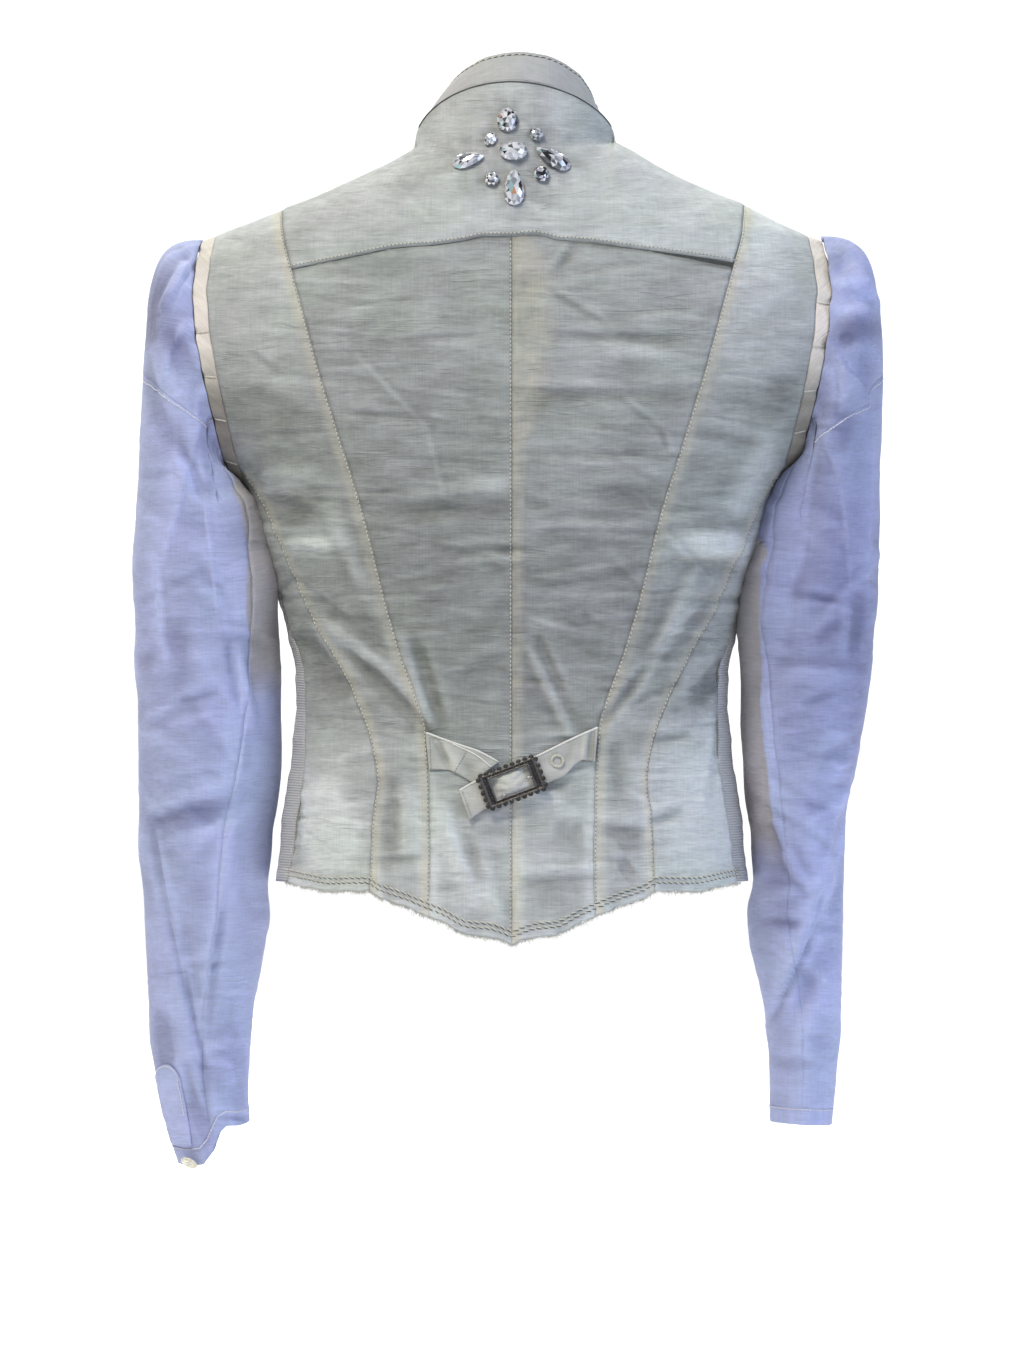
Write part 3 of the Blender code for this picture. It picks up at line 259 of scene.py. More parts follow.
HEM = ((0, -523.5), (13, -519), (27, -517.5), (41, -510.5), (52, -506), (64, -501), (79, -496),
       (88, -491.5), (110, -492), (126, -489.5), (138, -487.5), (150, -486))
NECK_HALF_WIDTH, NECK_DROP = 59 * MM, 37.5 * MM
ARMHOLE_MIDDLE, ARMHOLE_HALF_HEIGHT, ARMHOLE_HALF_DEPTH = -170 * MM, 78 * MM, 56 * MM
NOTCH = -236 * MM
FRONT_HEM = -487 * MM
SIDE_FRONT_ANGLE = math.radians(102.5)
SIDE_SHARE = math.sin(SIDE_FRONT_ANGLE) ** (2 / 2.25)


def curve(rows, at, unit=MM):
    """A smooth curve through (key, value) rows that never swings past two neighbours."""
    keys, values = np.array(sorted(rows), float).T * np.array([[MM], [unit]])
    widths = np.diff(keys)
    steps = np.diff(values) / widths
    both = steps[:-1] + steps[1:]
    same_way = steps[:-1] * steps[1:] > 0
    bends = np.where(same_way, 2 * steps[:-1] * steps[1:] / np.where(same_way, both, 1), 0)
    slopes = np.concatenate([steps[:1], bends, steps[-1:]])
    at = np.clip(np.asarray(at, float), keys[0], keys[-1])
    place = np.clip(np.searchsorted(keys, at, side="right") - 1, 0, len(widths) - 1)
    part = (at - keys[place]) / widths[place]
    rise = part * part * (3 - 2 * part)
    swing = part * (1 - part) * widths[place]
    return (values[place] * (1 - rise) + values[place + 1] * rise
            + swing * ((1 - part) * slopes[place] - part * slopes[place + 1]))


def body(column, z):
    """One size of the body's section at height z."""
    at = BODY_COLUMNS.index(column)
    return curve([(row[0], row[at]) for row in BODY_ROWS], z, 1.0 if column == "roundness" else MM)


def on_body(x, z, side):
    """Points on the form: y = middle + side * depth * (1 - (x / width) ^ n) ^ (1 / n)."""
    x, z = np.broadcast_arrays(np.asarray(x, float), np.asarray(z, float))
    roundness = body("roundness", z)
    across = np.clip(np.abs(x) / body("half_width", z), 0, 1)
    depth = body("back" if side > 0 else "front", z)
    y = body("middle", z) + side * depth * (1 - across ** roundness) ** (1 / roundness)
    return np.stack([x, y, z], axis=-1)


def unit(vectors):
    """The same ways, each of length one."""
    return vectors / np.maximum(np.linalg.norm(vectors, axis=-1, keepdims=True), 1e-12)


def circle(count):
    """Even angles once round, from nought."""
    return np.linspace(0, 2 * math.pi, count, endpoint=False)


def body_out(x, z, side):
    """Unit normals of the form, from the cross product of two small steps."""
    step = 0.5 * MM
    over = on_body(x + step, z, side) - on_body(x - step, z, side)
    down = on_body(x, z - step, side) - on_body(x, z + step, side)
    return unit(side * np.cross(over, down))


def round_body(angle, z, hand):
    """Points on the form at an angle from the centre back."""
    power = 2 / body("roundness", z)
    depth = np.where(np.cos(angle) > 0, body("back", z), body("front", z))
    x = hand * body("half_width", z) * np.abs(np.sin(angle)) ** power
    y = body("middle", z) + np.sign(np.cos(angle)) * depth * np.abs(np.cos(angle)) ** power
    return np.stack(np.broadcast_arrays(x, y, z), axis=-1)


def armhole(turn):
    """The armhole seam, an upright oval laid on the form: turn 0 is the shoulder."""
    z = ARMHOLE_MIDDLE + ARMHOLE_HALF_HEIGHT * np.cos(turn)
    y = ARMHOLE_HALF_DEPTH * np.sin(turn)
    roundness = body("roundness", z)
    depth = np.where(y > 0, body("back", z), body("front", z))
    x = body("half_width", z) * (1 - (np.abs(y) / depth) ** roundness) ** (1 / roundness)
    return np.stack([x, y, z], axis=-1)


def armhole_width(z, side):
    """How far out the armhole seam lies at height z."""
    turn = np.arccos(np.clip((z - ARMHOLE_MIDDLE) / ARMHOLE_HALF_HEIGHT, -1, 1))
    return armhole(side * turn)[..., 0]


def armhole_floor(y):
    """The height of the armhole's lower half at depth y."""
    share = np.clip(np.abs(y) / ARMHOLE_HALF_DEPTH, 0, 1)
    return ARMHOLE_MIDDLE - ARMHOLE_HALF_HEIGHT * np.sqrt(1 - share ** 2)


def top_edge(x, side):
    """The neck seam within the neck's width, the shoulder seam beyond it."""
    turn = np.arcsin(np.clip(np.abs(x) / NECK_HALF_WIDTH, 0, 1))
    neck = -NECK_DROP * (1 - side * np.cos(turn))
    heights = np.linspace(-92 * MM, -NECK_DROP, 800)
    shoulder = np.interp(np.abs(x), body("half_width", heights)[::-1], heights[::-1])
    return np.where(np.abs(x) < NECK_HALF_WIDTH, neck, shoulder)


def outer_seam(z):
    """The armhole's edge down to its notch, then the outer princess seam."""
    return np.where(z > NOTCH, armhole_width(z, 1), curve(OUTER_SEAM, z))


print("waist half width in mm:", round(float(body("half_width", -0.382)) / MM, 1))

# %% [markdown]
# ## Folds
# Real cloth drags from where it is held: from the ends of the strap, from the armholes and from each
# tight row of stitches. Each fold is a line with a width and a depth in millimetres, given one by
# one, and presses a soft trough, or a ridge where its depth is negative. Small crumples are drawn at
# random with a fixed seed, mostly level, as washed linen has them.

# %% Creases and ripples
def pressed(x, z, rows):
    """Sum of bells: depth * exp(-(distance / width) ^ 2) * (1 - |how far from the middle| ^ 3).

    A row is from x, from z, to x, to z, width and depth, all in mm.
    """
    total = np.zeros(np.broadcast(x, z).shape)
    for row in np.asarray(rows, float) * MM:
        along = 1.24 * (row[2:4] - row[:2])
        start = (row[:2] + row[2:4] - along) / 2
        near = np.clip(((x - start[0]) * along[0] + (z - start[1]) * along[1]) / (along @ along), 0, 1)
        gap = (x - start[0] - near * along[0]) ** 2 + (z - start[1] - near * along[1]) ** 2
        total += row[5] * np.exp(-gap / row[4] ** 2) * (1 - np.abs(2 * near - 1) ** 3)
    return total


def lapped(x, z, folds):
    """Sharp folds: steep on one side of a line x(z), and easing off as exp(-d / width) on the other."""
    total = np.zeros(np.broadcast(x, z).shape)
    for line, width, depth, side in folds:
        heights = sorted(row[0] * MM for row in line)
        share = (z - heights[0]) / (heights[-1] - heights[0])
        fade = np.clip(1 - np.abs(2 * share - 1) ** 4, 0, 1)
        gap = side * (x - curve(line, z))
        bell = np.where(gap > 0, np.exp(-np.abs(gap) / (width * MM)), np.exp(-(gap / (1.1 * MM)) ** 2))
        total += depth * MM * fade * bell
    return total


def high_shoulder(x, z):
    """The right shoulder sits a few millimetres higher than the left, most of all at the neck."""
    away = -x / MM
    rise = 3.5 * np.clip((172 - away) / 30, 0, 1) * np.clip((away - 30) / 30, 0, 1)
    rise += 2.4 * np.exp(-((away - 70) / 16) ** 2)
    near = np.exp(np.minimum(0, z - top_edge(x, 1) + 4 * MM) / (22 * MM))
    return np.where(x < 0, rise * near * MM, 0)


def with_ridges(rows, beside=1.7, share=-0.5):
    """Each fold again, moved sideways by its own width, half as strong and the other way up."""
    rows = np.asarray(rows, float)
    along = rows[:, 2:4] - rows[:, :2]
    side = unit(np.stack([-along[:, 1], along[:, 0]], axis=-1))
    side *= np.where(side[:, 1:] < 0, -1, 1)
    shift = np.tile(side * rows[:, 4:5] * beside, 2)
    again = np.concatenate([rows[:, :4] + shift, rows[:, 4:5], rows[:, 5:] * share], axis=1)
    return np.concatenate([rows, again])


def crumples(seed, count, across, up, length, width, depth, slope=0.12):
    """Random creases: even places, lengths and depths between two bounds, and nearly level."""
    draw = np.random.default_rng(seed)
    middle = np.stack([draw.uniform(*across, count), draw.uniform(*up, count)])
    half = draw.uniform(*length, count) / 2
    lean = draw.normal(0, slope, count)
    sign = draw.choice([-1.0, 1.0], count)
    return np.stack([middle[0] - half, middle[1] - lean * half, middle[0] + half,
                     middle[1] + lean * half, draw.uniform(*width, count),
                     sign * draw.uniform(*depth, count)], axis=-1)


def wave(at, pitch, seed):
    """An uneven wave between about -1 and 1: three sines of unlike pitch and random phase."""
    phase = np.random.default_rng(seed).uniform(0, 2 * math.pi, 3)
    turns = 2 * math.pi * at / pitch
    return (np.sin(turns + phase[0]) + 0.7 * np.sin(1.63 * turns + phase[1])
            + 0.5 * np.sin(0.57 * turns + phase[2])) / 2.2


def ripple(along, away, seed, height=0.55, reach=7.0, pitch=11.0):
    """Puckers of a tight seam: a wave along it, which dies away from it as exp(-distance)."""
    swell = 0.5 + 0.5 * wave(along, 70 * MM, seed + 50)
    return height * MM * wave(along, pitch * MM, seed) * swell * np.exp(-np.abs(away) / (reach * MM))


# %% Folds of the back
BACK_FOLDS = (
    (118, -325, 84, -355, 4.5, -1.8), (100, -345, 52, -394, 4.5, 2.6), (128, -338, 100, -372, 6, 1.6),
    (66, -340, 50, -392, 4, -1.4), (58, -345, 44, -392, 4.5, 1.2), (74, -262, 4, -262, 6, 1.0),
    (140, -262, 122, -263, 5, 1.3), (136, -280, 110, -284, 6, -1.2), (97, -165, 52, -212, 1.8, -0.5),
    (52, -212, 41, -254, 1.8, -0.4), (26, -245, 2, -246, 5, -0.8), (62, -430, 60, -470, 6, -1.2),
    (76, -424, 72, -472, 7, 0.9), (44, -440, 22, -496, 6, -1.6), (36, -452, 20, -484, 5, 1.2),
    (20, -470, 8, -510, 5, -1.0), (131, -425, 133, -480, 4, 1.6), (118, -430, 104, -476, 14, -1.4),
    (-40, -99, -27, -117, 2.5, 0.9), (-23, -130, -54, -148, 2.2, 0.8), (-26, -156, -92, -158, 3, 0.8),
    (-55, -163, -103, -170, 5, -0.8), (-4, -192, -110, -192, 4, 0.8), (-8, -198, -20, -200, 6, 0.9),
    (-66, -196, -90, -214, 2, 0.7), (-90, -214, -94, -226, 2, 0.6), (-54, -253, -88, -252, 6, 1.0),
    (-24, -233, -78, -234, 3, -0.6), (-24, -270, -84, -271, 3, -0.6), (-110, -280, -142, -283, 7, -1.6),
    (-98, -292, -134, -296, 6, 1.2), (-115, -291, -78, -370, 4, -1.0), (-122, -315, -58, -388, 4, 1.3),
    (-106, -330, -60, -392, 3, -0.9), (-8, -343, -35, -398, 3.5, -1.3), (-16, -340, -30, -372, 3, 0.9),
    (-4, -340, -30, -396, 4, 0.8), (-87, -401, -108, -397, 3, 1.1), (-84, -450, -104, -443, 3, 1.3),
    (-133, -352, -110, -378, 6, 1.8), (-128, -372, -122, -440, 3, 0.9), (-62, -404, -66, -436, 5, 0.8),
    (-52, -456, -80, -458, 5, 1.2), (-66, -480, -72, -476, 7, 1.3), (-26, -455, -42, -455, 6, 1.0),
    (-6, -488, -52, -486, 5, 1.2), (-6, -432, -30, -438, 5, -0.9), (118, -250, 150, -262, 6, 1.0),
    (150, -240, 118, -238, 5, -0.8), (-150, -222, -112, -216, 5, 0.8), (158, -166, 142, -178, 2.5, 0.6),
    (168, -190, 128, -206, 9, 0.6), (-170, -188, -128, -200, 9, 0.6), (-160, -208, -135, -262, 7, -0.9),
    (105, -288, 78, -352, 5, 0.9), (110, -262, 86, -330, 5, -0.8), (30, -362, 4, -352, 5, 0.7),
)
BACK_CRUMPLES = np.concatenate([
    crumples(15, 170, (-150, 150), (-480, -112), (14, 60), (0.9, 1.4), (0.10, 0.26), 0.08),
    crumples(11, 190, (-150, 150), (-480, -112), (18, 75), (1.2, 2.6), (0.10, 0.38), 0.10),
    crumples(12, 60, (-160, 160), (-490, -230), (12, 40), (1.4, 3.2), (0.2, 0.5), 0.5),
    crumples(13, 40, (-130, 130), (-100, -50), (12, 45), (1.5, 3.0), (0.05, 0.18), 0.5)])
CRYSTAL_COLUMNS = ("across", "up", "length", "width", "turn", "point", "height")
CRYSTALS = {
    "crystal_oval_top": (2.6, -24.8, 16.5, 12.8, 90, 0.0, 4.5),
    "crystal_oval_centre": (-0.8, -44.1, 17.1, 12.8, 0, 0.0, 4.5),
    "crystal_drop_left": (26.2, -49.5, 19.8, 10.0, 17, 0.32, 4.2),
    "crystal_drop_right": (-24.6, -48.4, 23.8, 11.4, 143, 0.28, 4.2),
    "crystal_drop_bottom": (-1.2, -66.5, 23.2, 12.2, 90, 0.28, 4.2),
    "crystal_small_upper_left": (12.8, -36.4, 9.3, 8.0, 60, 0.0, 3.2),
    "crystal_small_upper_right": (-14.5, -33.4, 9.2, 8.6, 150, 0.0, 3.2),
    "crystal_small_lower_left": (12.2, -61.0, 9.3, 9.0, 90, 0.0, 3.2),
    "crystal_small_lower_right": (-17.7, -58.0, 10.6, 9.4, 90, 0.0, 3.2),
}


def crystal_dimples(x, z):
    """The cloth is drawn in under each stone, and pulls short rays round it."""
    total = np.zeros(np.broadcast(x, z).shape)
    for row in CRYSTALS.values():
        away = np.hypot(x - row[0] * MM, z - row[1] * MM)
        rays = np.sin(7 * np.arctan2(z - row[1] * MM, x - row[0] * MM) + row[0])
        total -= 1.1 * MM * np.exp(-(away / (0.72 * row[2] * MM)) ** 2)
        total += 0.4 * MM * rays * np.exp(-((away - 0.65 * row[2] * MM) / (5 * MM)) ** 2)
    return total


def back_relief(x, z):
    """How far the back's cloth stands out: folds, crumples, puckers, seams sunk by half a mm."""
    rise = (crystal_dimples(x, z) - 1.5 * pressed(x, z, with_ridges(BACK_FOLDS))
            - 1.8 * pressed(x, z, with_ridges(BACK_CRUMPLES)))
    away = np.abs(x)
    above = z - curve(YOKE_EDGE, x)
    inner, outer = curve(INNER_SEAM, z), curve(OUTER_SEAM, z)
    seams = ((x, 21, above < 0), (x - inner, 22, z < 0), (x + inner, 23, z < 0),
             (x - outer, 24, z < NOTCH), (x + outer, 25, z < NOTCH))
    for gap, seed, there in seams:
        rise += np.where(there, ripple(z, gap, seed) - 0.5 * MM * np.exp(-(gap / (1.1 * MM)) ** 2), 0)
    within = np.clip((inner - away) / (3 * MM), 0, 1)
    rise += np.where(above > 0, 0.8 * MM * within, 0)
    rise -= 0.3 * MM * np.exp(-(above / MM) ** 2) * (away < inner)
    rise += 0.5 * MM * wave(z + 0.35 * x, 62 * MM, 31) * wave(x, 84 * MM, 32)
    to_hem = z - curve(HEM, away)
    rise += np.exp(-to_hem / (9 * MM)) * 0.7 * MM * wave(x, 17 * MM, 33)
    return rise + high_shoulder(x, z)


print("folds placed by hand on the back:", len(BACK_FOLDS))

# %% [markdown]
# ## From a grid to a sheet of cloth
# A panel is a grid of points with rows down it and columns across it. The plain grid gives the flat
# size that the piece is cut to and its thread direction. Then the folds are added along the normals
# and a Solidify modifier gives the cloth its real thickness on the inside.

# %% Grids
def out_of(grid, closed, centre):
    """Unit normals of a grid, from central differences, turned away from a point inside."""
    padded = np.concatenate([grid[:, -1:], grid, grid[:, :1]], axis=1) if closed else grid
    over = np.gradient(padded, axis=1)
    over = over[:, 1:-1] if closed else over
    out = unit(np.cross(over, np.gradient(grid, axis=0)))
    middle = out[len(out) // 4] * (grid[len(grid) // 4] - np.asarray(centre))
    return out * np.sign(middle.sum())


def arcs(grid, axis):
    """Distance along the rows or the columns of a grid, from its first point."""
    steps = np.linalg.norm(np.diff(grid, axis=axis), axis=-1)
    start = np.zeros_like(np.take(steps, [0], axis=axis))
    return np.concatenate([start, np.cumsum(steps, axis=axis)], axis=axis)


def grid_mesh(name, grid, closed=False, cut=None, fields=None):
    """A quad mesh on a grid, with the thread direction as its UV map and fields as attributes."""
    rows, columns = grid.shape[:2]
    row, column = np.meshgrid(np.arange(rows - 1), np.arange(columns if closed else columns - 1),
                              indexing="ij")
    corners = np.stack([row * columns + column, (row + 1) * columns + column,
                        (row + 1) * columns + (column + 1) % columns,
                        row * columns + (column + 1) % columns], axis=-1).reshape(-1, 4)
    mesh = bpy.data.meshes.new(name)
    mesh.vertices.add(rows * columns)
    mesh.vertices.foreach_set("co", grid.astype(np.float32).ravel())
    mesh.loops.add(corners.size)
    mesh.loops.foreach_set("vertex_index", corners.astype(np.int32).ravel())
    mesh.polygons.add(len(corners))
    mesh.polygons.foreach_set("loop_start", np.arange(0, corners.size, 4, dtype=np.int32))
    mesh.update(calc_edges=True)
    if cut is not None:
        across = np.stack([column, column, column + 1, column + 1], axis=-1).reshape(-1, 4)
        down = np.stack([row, row + 1, row + 1, row], axis=-1).reshape(-1, 4)
        layer = mesh.uv_layers.new(name="cut")
        layer.data.foreach_set("uv", cut[down, across].astype(np.float32).ravel())
    for label, values in (fields or {}).items():
        attribute = mesh.attributes.new(label, "FLOAT", "POINT")
        wide = np.broadcast_to(values, (rows, columns)).astype(np.float32)
        attribute.data.foreach_set("value", wide.ravel())
    mesh.polygons.foreach_set("use_smooth", np.ones(len(corners), bool))
    mesh.update()
    return mesh


def place(name, mesh, material, slot, nodes=()):
    """Puts a mesh in the scene: it rides on the body and stands for its nodes. The slot is not used."""
    thing = bpy.data.objects.new(name, mesh)
    mesh.materials.append(material)
    bpy.context.scene.collection.objects.link(thing)
    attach(thing, "root")
    if nodes:
        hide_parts(*nodes)
    return thing


def folded(grid, gap, centre, closed=False):
    """Turns cloth over at the last row and back up inside: a half circle, then the same rows."""
    out = out_of(grid, closed, centre)
    down = unit(grid[-1] - grid[-2])
    bend = np.linspace(0, math.pi, 5)[1:-1, None, None]
    turn = grid[-1] - out[-1] * gap / 2 * (1 - np.cos(bend)) + down * gap / 2 * np.sin(bend)
    return np.concatenate([grid, turn, (grid - out * gap)[::-1]])


def run_along(points):
    """How far each point of a line lies from its start, along it."""
    return np.concatenate([[0], np.cumsum(np.linalg.norm(np.diff(points, axis=0), axis=-1))])


def girth(x, z):
    """How far round the form a point lies from the centre back: the section's arc length."""
    share = np.linspace(0, 1, 33)[:, None, None]
    section = on_body(x * share, z, 1)
    return np.sign(x) * np.linalg.norm(np.diff(section, axis=0), axis=-1).sum(axis=0)


def upright(z):
    """How far down the form a point lies: the arc length of the centre-back profile."""
    heights = np.linspace(-530 * MM, 30 * MM, 600)
    return -np.interp(z, heights, run_along(on_body(0.0, heights, 1)))


cuts = {}


def eased(pale):
    """Keeps the darkest cloth from going flat: values level off softly towards a low floor."""
    low, bend = 0.08, 0.15
    return low + 0.5 * (pale - low + np.sqrt((pale - low) ** 2 + bend ** 2))


def sew(name, grid, nodes, slot, relief=0.0, fields=None, closed=False, centre=None,
        thickness=0.8, out=None, level=None):
    """Makes one sheet: measures its flat cut, lifts the folds along the normals, adds thickness."""
    centre = np.array([0, 0, grid[..., 2].mean()]) if centre is None else centre
    ring = np.concatenate([grid, grid[:, :1]], axis=1) if closed else grid
    across, down = arcs(ring, 1), arcs(ring, 0)
    middle = ring.shape[1] // 2
    if level is None:
        cut = np.stack([across - across[:, middle:middle + 1] + ring[:, middle:middle + 1, 0],
                        down - down[-1:] - ring[-1:, :, 2]], axis=-1)
    else:
        cut = np.stack([level, upright(grid[..., 2])], axis=-1)
    over, under = np.diff(ring[:-1], axis=1), np.diff(ring[:, :-1], axis=0)
    area = float(np.linalg.norm(np.cross(over, under), axis=-1).sum())
    flat = (float(across[:, -1].max()), float(down[-1].max()))
    out = out_of(grid, closed, centre) if out is None else out
    moved = grid + out * np.asarray(relief)[..., None]
    winding = np.cross(np.diff(moved, axis=1)[:-1], np.diff(moved, axis=0)[:, :-1])
    if (winding * out[:-1, :-1]).sum() > 0:
        moved, cut = moved[:, ::-1], cut[:, ::-1]
        fields = {key: np.broadcast_to(value, grid.shape[:2])[:, ::-1]
                  for key, value in (fields or {}).items()}
    both = {"sheer": 0.6, "allowance_and_sleeve_shade": 99.0}
    both.update(fields or {})
    both["sheer"] = eased(np.asarray(both["sheer"], float))
    thing = place(name, grid_mesh(name, moved, closed, cut, both), CLOTHS[slot], slot, nodes)
    wall = thing.modifiers.new("cloth thickness", "SOLIDIFY")
    wall.thickness, wall.offset, wall.use_even_offset = thickness * MM, -1, False
    cuts[name] = [round(flat[0] / MM), round(flat[1] / MM), round(area * 1e4)]
    print(f"{name}: cut {cuts[name][0]} x {cuts[name][1]} mm, {cuts[name][2]} cm2")
    return thing


# %% [markdown]
# ## How pale the sheer cloth looks
# The vest is pale where it lies on a doubled layer, at the yoke, the shoulders and the hem, and dark
# where it spans the hollow. Short tables give this down each panel, with painted shade where less
# light falls. Soft spots add painted light and painted shade where folds turn to or from the light,
# and painted shadows under the crystals.

# %% Sheerness and painted shade of the vest
# Paleness down each panel: sheerness over the layers behind, and painted shade where less light falls
CENTRE_TONE = ((-95, 0.36), (-130, 0.30), (-170, 0.28), (-230, 0.24), (-262, 0.14), (-300, 0.14),
               (-360, 0.12), (-400, 0.26), (-430, 0.48), (-470, 0.62), (-525, 0.62))
PRINCESS_TONE = ((-75, 0.72), (-120, 0.58), (-160, 0.46), (-190, 0.30), (-230, 0.22), (-280, 0.26),
                 (-340, 0.18), (-390, 0.34), (-440, 0.46), (-480, 0.56), (-525, 0.6))
SIDE_TONE = ((-236, 0.30), (-300, 0.28), (-350, 0.18), (-390, 0.40), (-430, 0.72), (-465, 0.76),
             (-490, 0.66))
YOKE_TONE = ((0, 0.60), (-60, 0.60), (-90, 0.62), (-120, 0.66))
# Soft spots of painted light and painted shade along the folds, and painted shadows under the crystals
LIGHT_AND_SHADE_SPOTS = (  # across, up, half width, half height in mm, how much paler
    (122, -281, 20, 7, 0.35), (-122, -281, 24, 8, 0.40), (130, -262, 14, 6, -0.12),
    (40, -262, 40, 7, -0.09), (-12, -198, 12, 7, -0.14), (-72, -253, 20, 7, -0.14),
    (24, -246, 22, 4, 0.18), (-16, -270, 30, 4, 0.10), (-60, -164, 40, 6, 0.14),
    (60, -215, 30, 40, -0.06), (-118, -425, 14, 30, 0.30), (112, -450, 22, 26, 0.20),
    (128, -352, 16, 18, -0.14), (-112, -358, 12, 20, -0.10), (-40, -462, 14, 10, -0.10),
    (-72, -460, 14, 14, -0.08), (78, -448, 9, 26, -0.10), (34, -466, 8, 26, 0.22),
    (162, -200, 13, 28, -0.10), (-162, -196, 13, 28, -0.10), (90, -140, 40, 8, 0.10),
    (-125, -452, 24, 40, 0.47), (-115, -290, 30, 60, 0.10), (-40, -260, 50, 120, 0.06),
    (22, -66, 9, 7, -0.12), (-25, -72, 11, 8, -0.12), (0, -86, 5, 9, -0.16), (-16, -18, 8, 26, -0.10),
    (-60, -20, 14, 30, 0.08), (30, -84, 14, 9, 0.10), (-138, -240, 26, 60, 0.20),
    (-128, -390, 30, 60, 0.10), (-160, -120, 30, 40, 0.08), (-30, -500, 20, 10, -0.18),
    (60, -500, 14, 8, 0.10), (84, -350, 18, 8, 0.24), (-100, -322, 8, 26, 0.16),
    (-22, -370, 10, 20, 0.14), (54, -372, 5, 20, 0.22),
)


def spots(x, z, rows):
    """Sum of soft spots, each a bell in width and height."""
    total = np.zeros(np.broadcast(x, z).shape)
    for across, up, wide, high, more in rows:
        total += more * np.exp(-((x / MM - across) / wide) ** 2 - ((z / MM - up) / high) ** 2)
    return total


def paleness(x, z, tones):
    """A table's value at each height, plus the soft spots, and paler at the raw hem."""
    to_hem = np.maximum(z - curve(HEM, np.abs(x)), 0)
    return curve(tones, z, 1.0) + spots(x, z, LIGHT_AND_SHADE_SPOTS) + 0.3 * np.exp(-to_hem / (5 * MM))


def seam_glow(z, gap):
    """Painted highlight low down on the doubled cloth beside a seam; gap is in mm."""
    low = np.clip((-z / MM - 385) / 50, 0, 1)
    return 0.34 * low * np.exp(-(gap / 4.5) ** 2)


def shadowed(relief):
    """Painted shade in the troughs and painted highlight on the ridges: a share of the relief itself."""
    return np.clip(relief / (1.6 * MM), -0.7, 0.7) * 0.35


# %% [markdown]
# ## The back panels
# Seven panels make the back: the yoke over both shoulders, and on each half a centre panel, a
# princess panel from the shoulder to the hem and a side panel under the arm. Each runs between two
# seam lines, which are widths at height.

# %% Cutting the panels
def panel(inner, outer, top, bottom, columns, rows, side=1, hand=1):
    """Columns share the width between two seams; the edge heights settle in a few rounds."""
    share = np.linspace(0, 1, columns + 1)
    high, low = np.full(columns + 1, -100 * MM), np.full(columns + 1, -490 * MM)
    for settling in range(20):
        high = top(inner(high) + (outer(high) - inner(high)) * share, high)
        low = bottom(inner(low) + (outer(low) - inner(low)) * share, low)
    z = high + (low - high) * np.linspace(0, 1, rows + 1)[:, None]
    x = (inner(z) + (outer(z) - inner(z)) * share) * hand
    return x, z, on_body(x, z, side)


def centre(z):
    """The centre-back or centre-front line."""
    return np.zeros_like(z)


def inner_seam(z):
    """The inner princess seam."""
    return curve(INNER_SEAM, z)


def low_outer_seam(z):
    """The outer princess seam alone."""
    return curve(OUTER_SEAM, z)


def rib_back(z):
    """The back edge of the ribbed insert."""
    return curve(RIB_BACK, z, 1.0) * body("half_width", z)


def back_top(x, z):
    """The back's edge along the neck and the shoulder."""
    return top_edge(x, 1)


def back_hem(x, z):
    """The hem, with the small waves of a raw edge."""
    return curve(HEM, np.abs(x)) + 0.5 * MM * wave(x, 19 * MM, 41)


def under_arm(x, z):
    """The armhole's floor above a point of the back."""
    return np.minimum(armhole_floor(on_body(x, z, 1)[..., 1]), NOTCH)


CENTRE_ALLOWANCE = ((-95, 9), (-112, 22), (-150, 25), (-190, 20), (-225, 9), (-300, 7), (-530, 6.6))
for hand, word in HANDS:
    def yoke_line(x, z, hand=hand):
        """The yoke's wavy lower edge on this hand."""
        return curve(YOKE_EDGE, x * hand)

    x, z, grid = panel(centre, inner_seam, yoke_line, back_hem, 62, 290, 1, hand)
    relief = back_relief(x, z)
    wide = curve(CENTRE_ALLOWANCE, z, 1.0) / ALLOWANCE
    beside = np.abs(x) / wide if hand < 0 else np.full(x.shape, 99 * MM)
    below = yoke_line(x, z) - z
    relief = relief - 0.6 * MM * np.exp(-below / (1.2 * MM))
    yoke_shadow = 0.9 * np.exp(-(below / (1.1 * MM)) ** 2)
    sew("linen_back_centre_" + word, grid, ["back_centre_" + word], "vest_linen", relief,
        {"sheer": paleness(x, z, CENTRE_TONE) + shadowed(relief) - yoke_shadow
         + seam_glow(z, np.abs(x) / MM - 3) * (hand < 0)
         + seam_glow(z, (inner_seam(z) - np.abs(x)) / MM - 2),
         "allowance_and_sleeve_shade": beside / MM},
        out=body_out(x, z, 1), level=girth(x, z))

    x, z, grid = panel(inner_seam, outer_seam, back_top, back_hem, 46, 300, 1, hand)
    relief = back_relief(x, z)
    inner_gap = (np.abs(x) - inner_seam(z)) / MM
    outer_gap = (np.where(z < NOTCH, low_outer_seam(z), 1) - np.abs(x)) / MM
    sew("linen_back_princess_" + word, grid, ["back_princess_" + word], "vest_linen", relief,
        {"sheer": paleness(x, z, PRINCESS_TONE) + shadowed(relief)
         + seam_glow(z, inner_gap - 3) + seam_glow(z, outer_gap - 3),
         "allowance_and_sleeve_shade": np.minimum(inner_gap, outer_gap + 1.0)},
        out=body_out(x, z, 1), level=girth(x, z))

    x, z, grid = panel(low_outer_seam, rib_back, under_arm, back_hem, 36, 190, 1, hand)
    relief = back_relief(x, z)
    sew("linen_back_side_" + word, grid, ["back_side_" + word], "vest_linen", relief,
        {"sheer": paleness(x, z, SIDE_TONE) + shadowed(relief)}, level=girth(x, z))

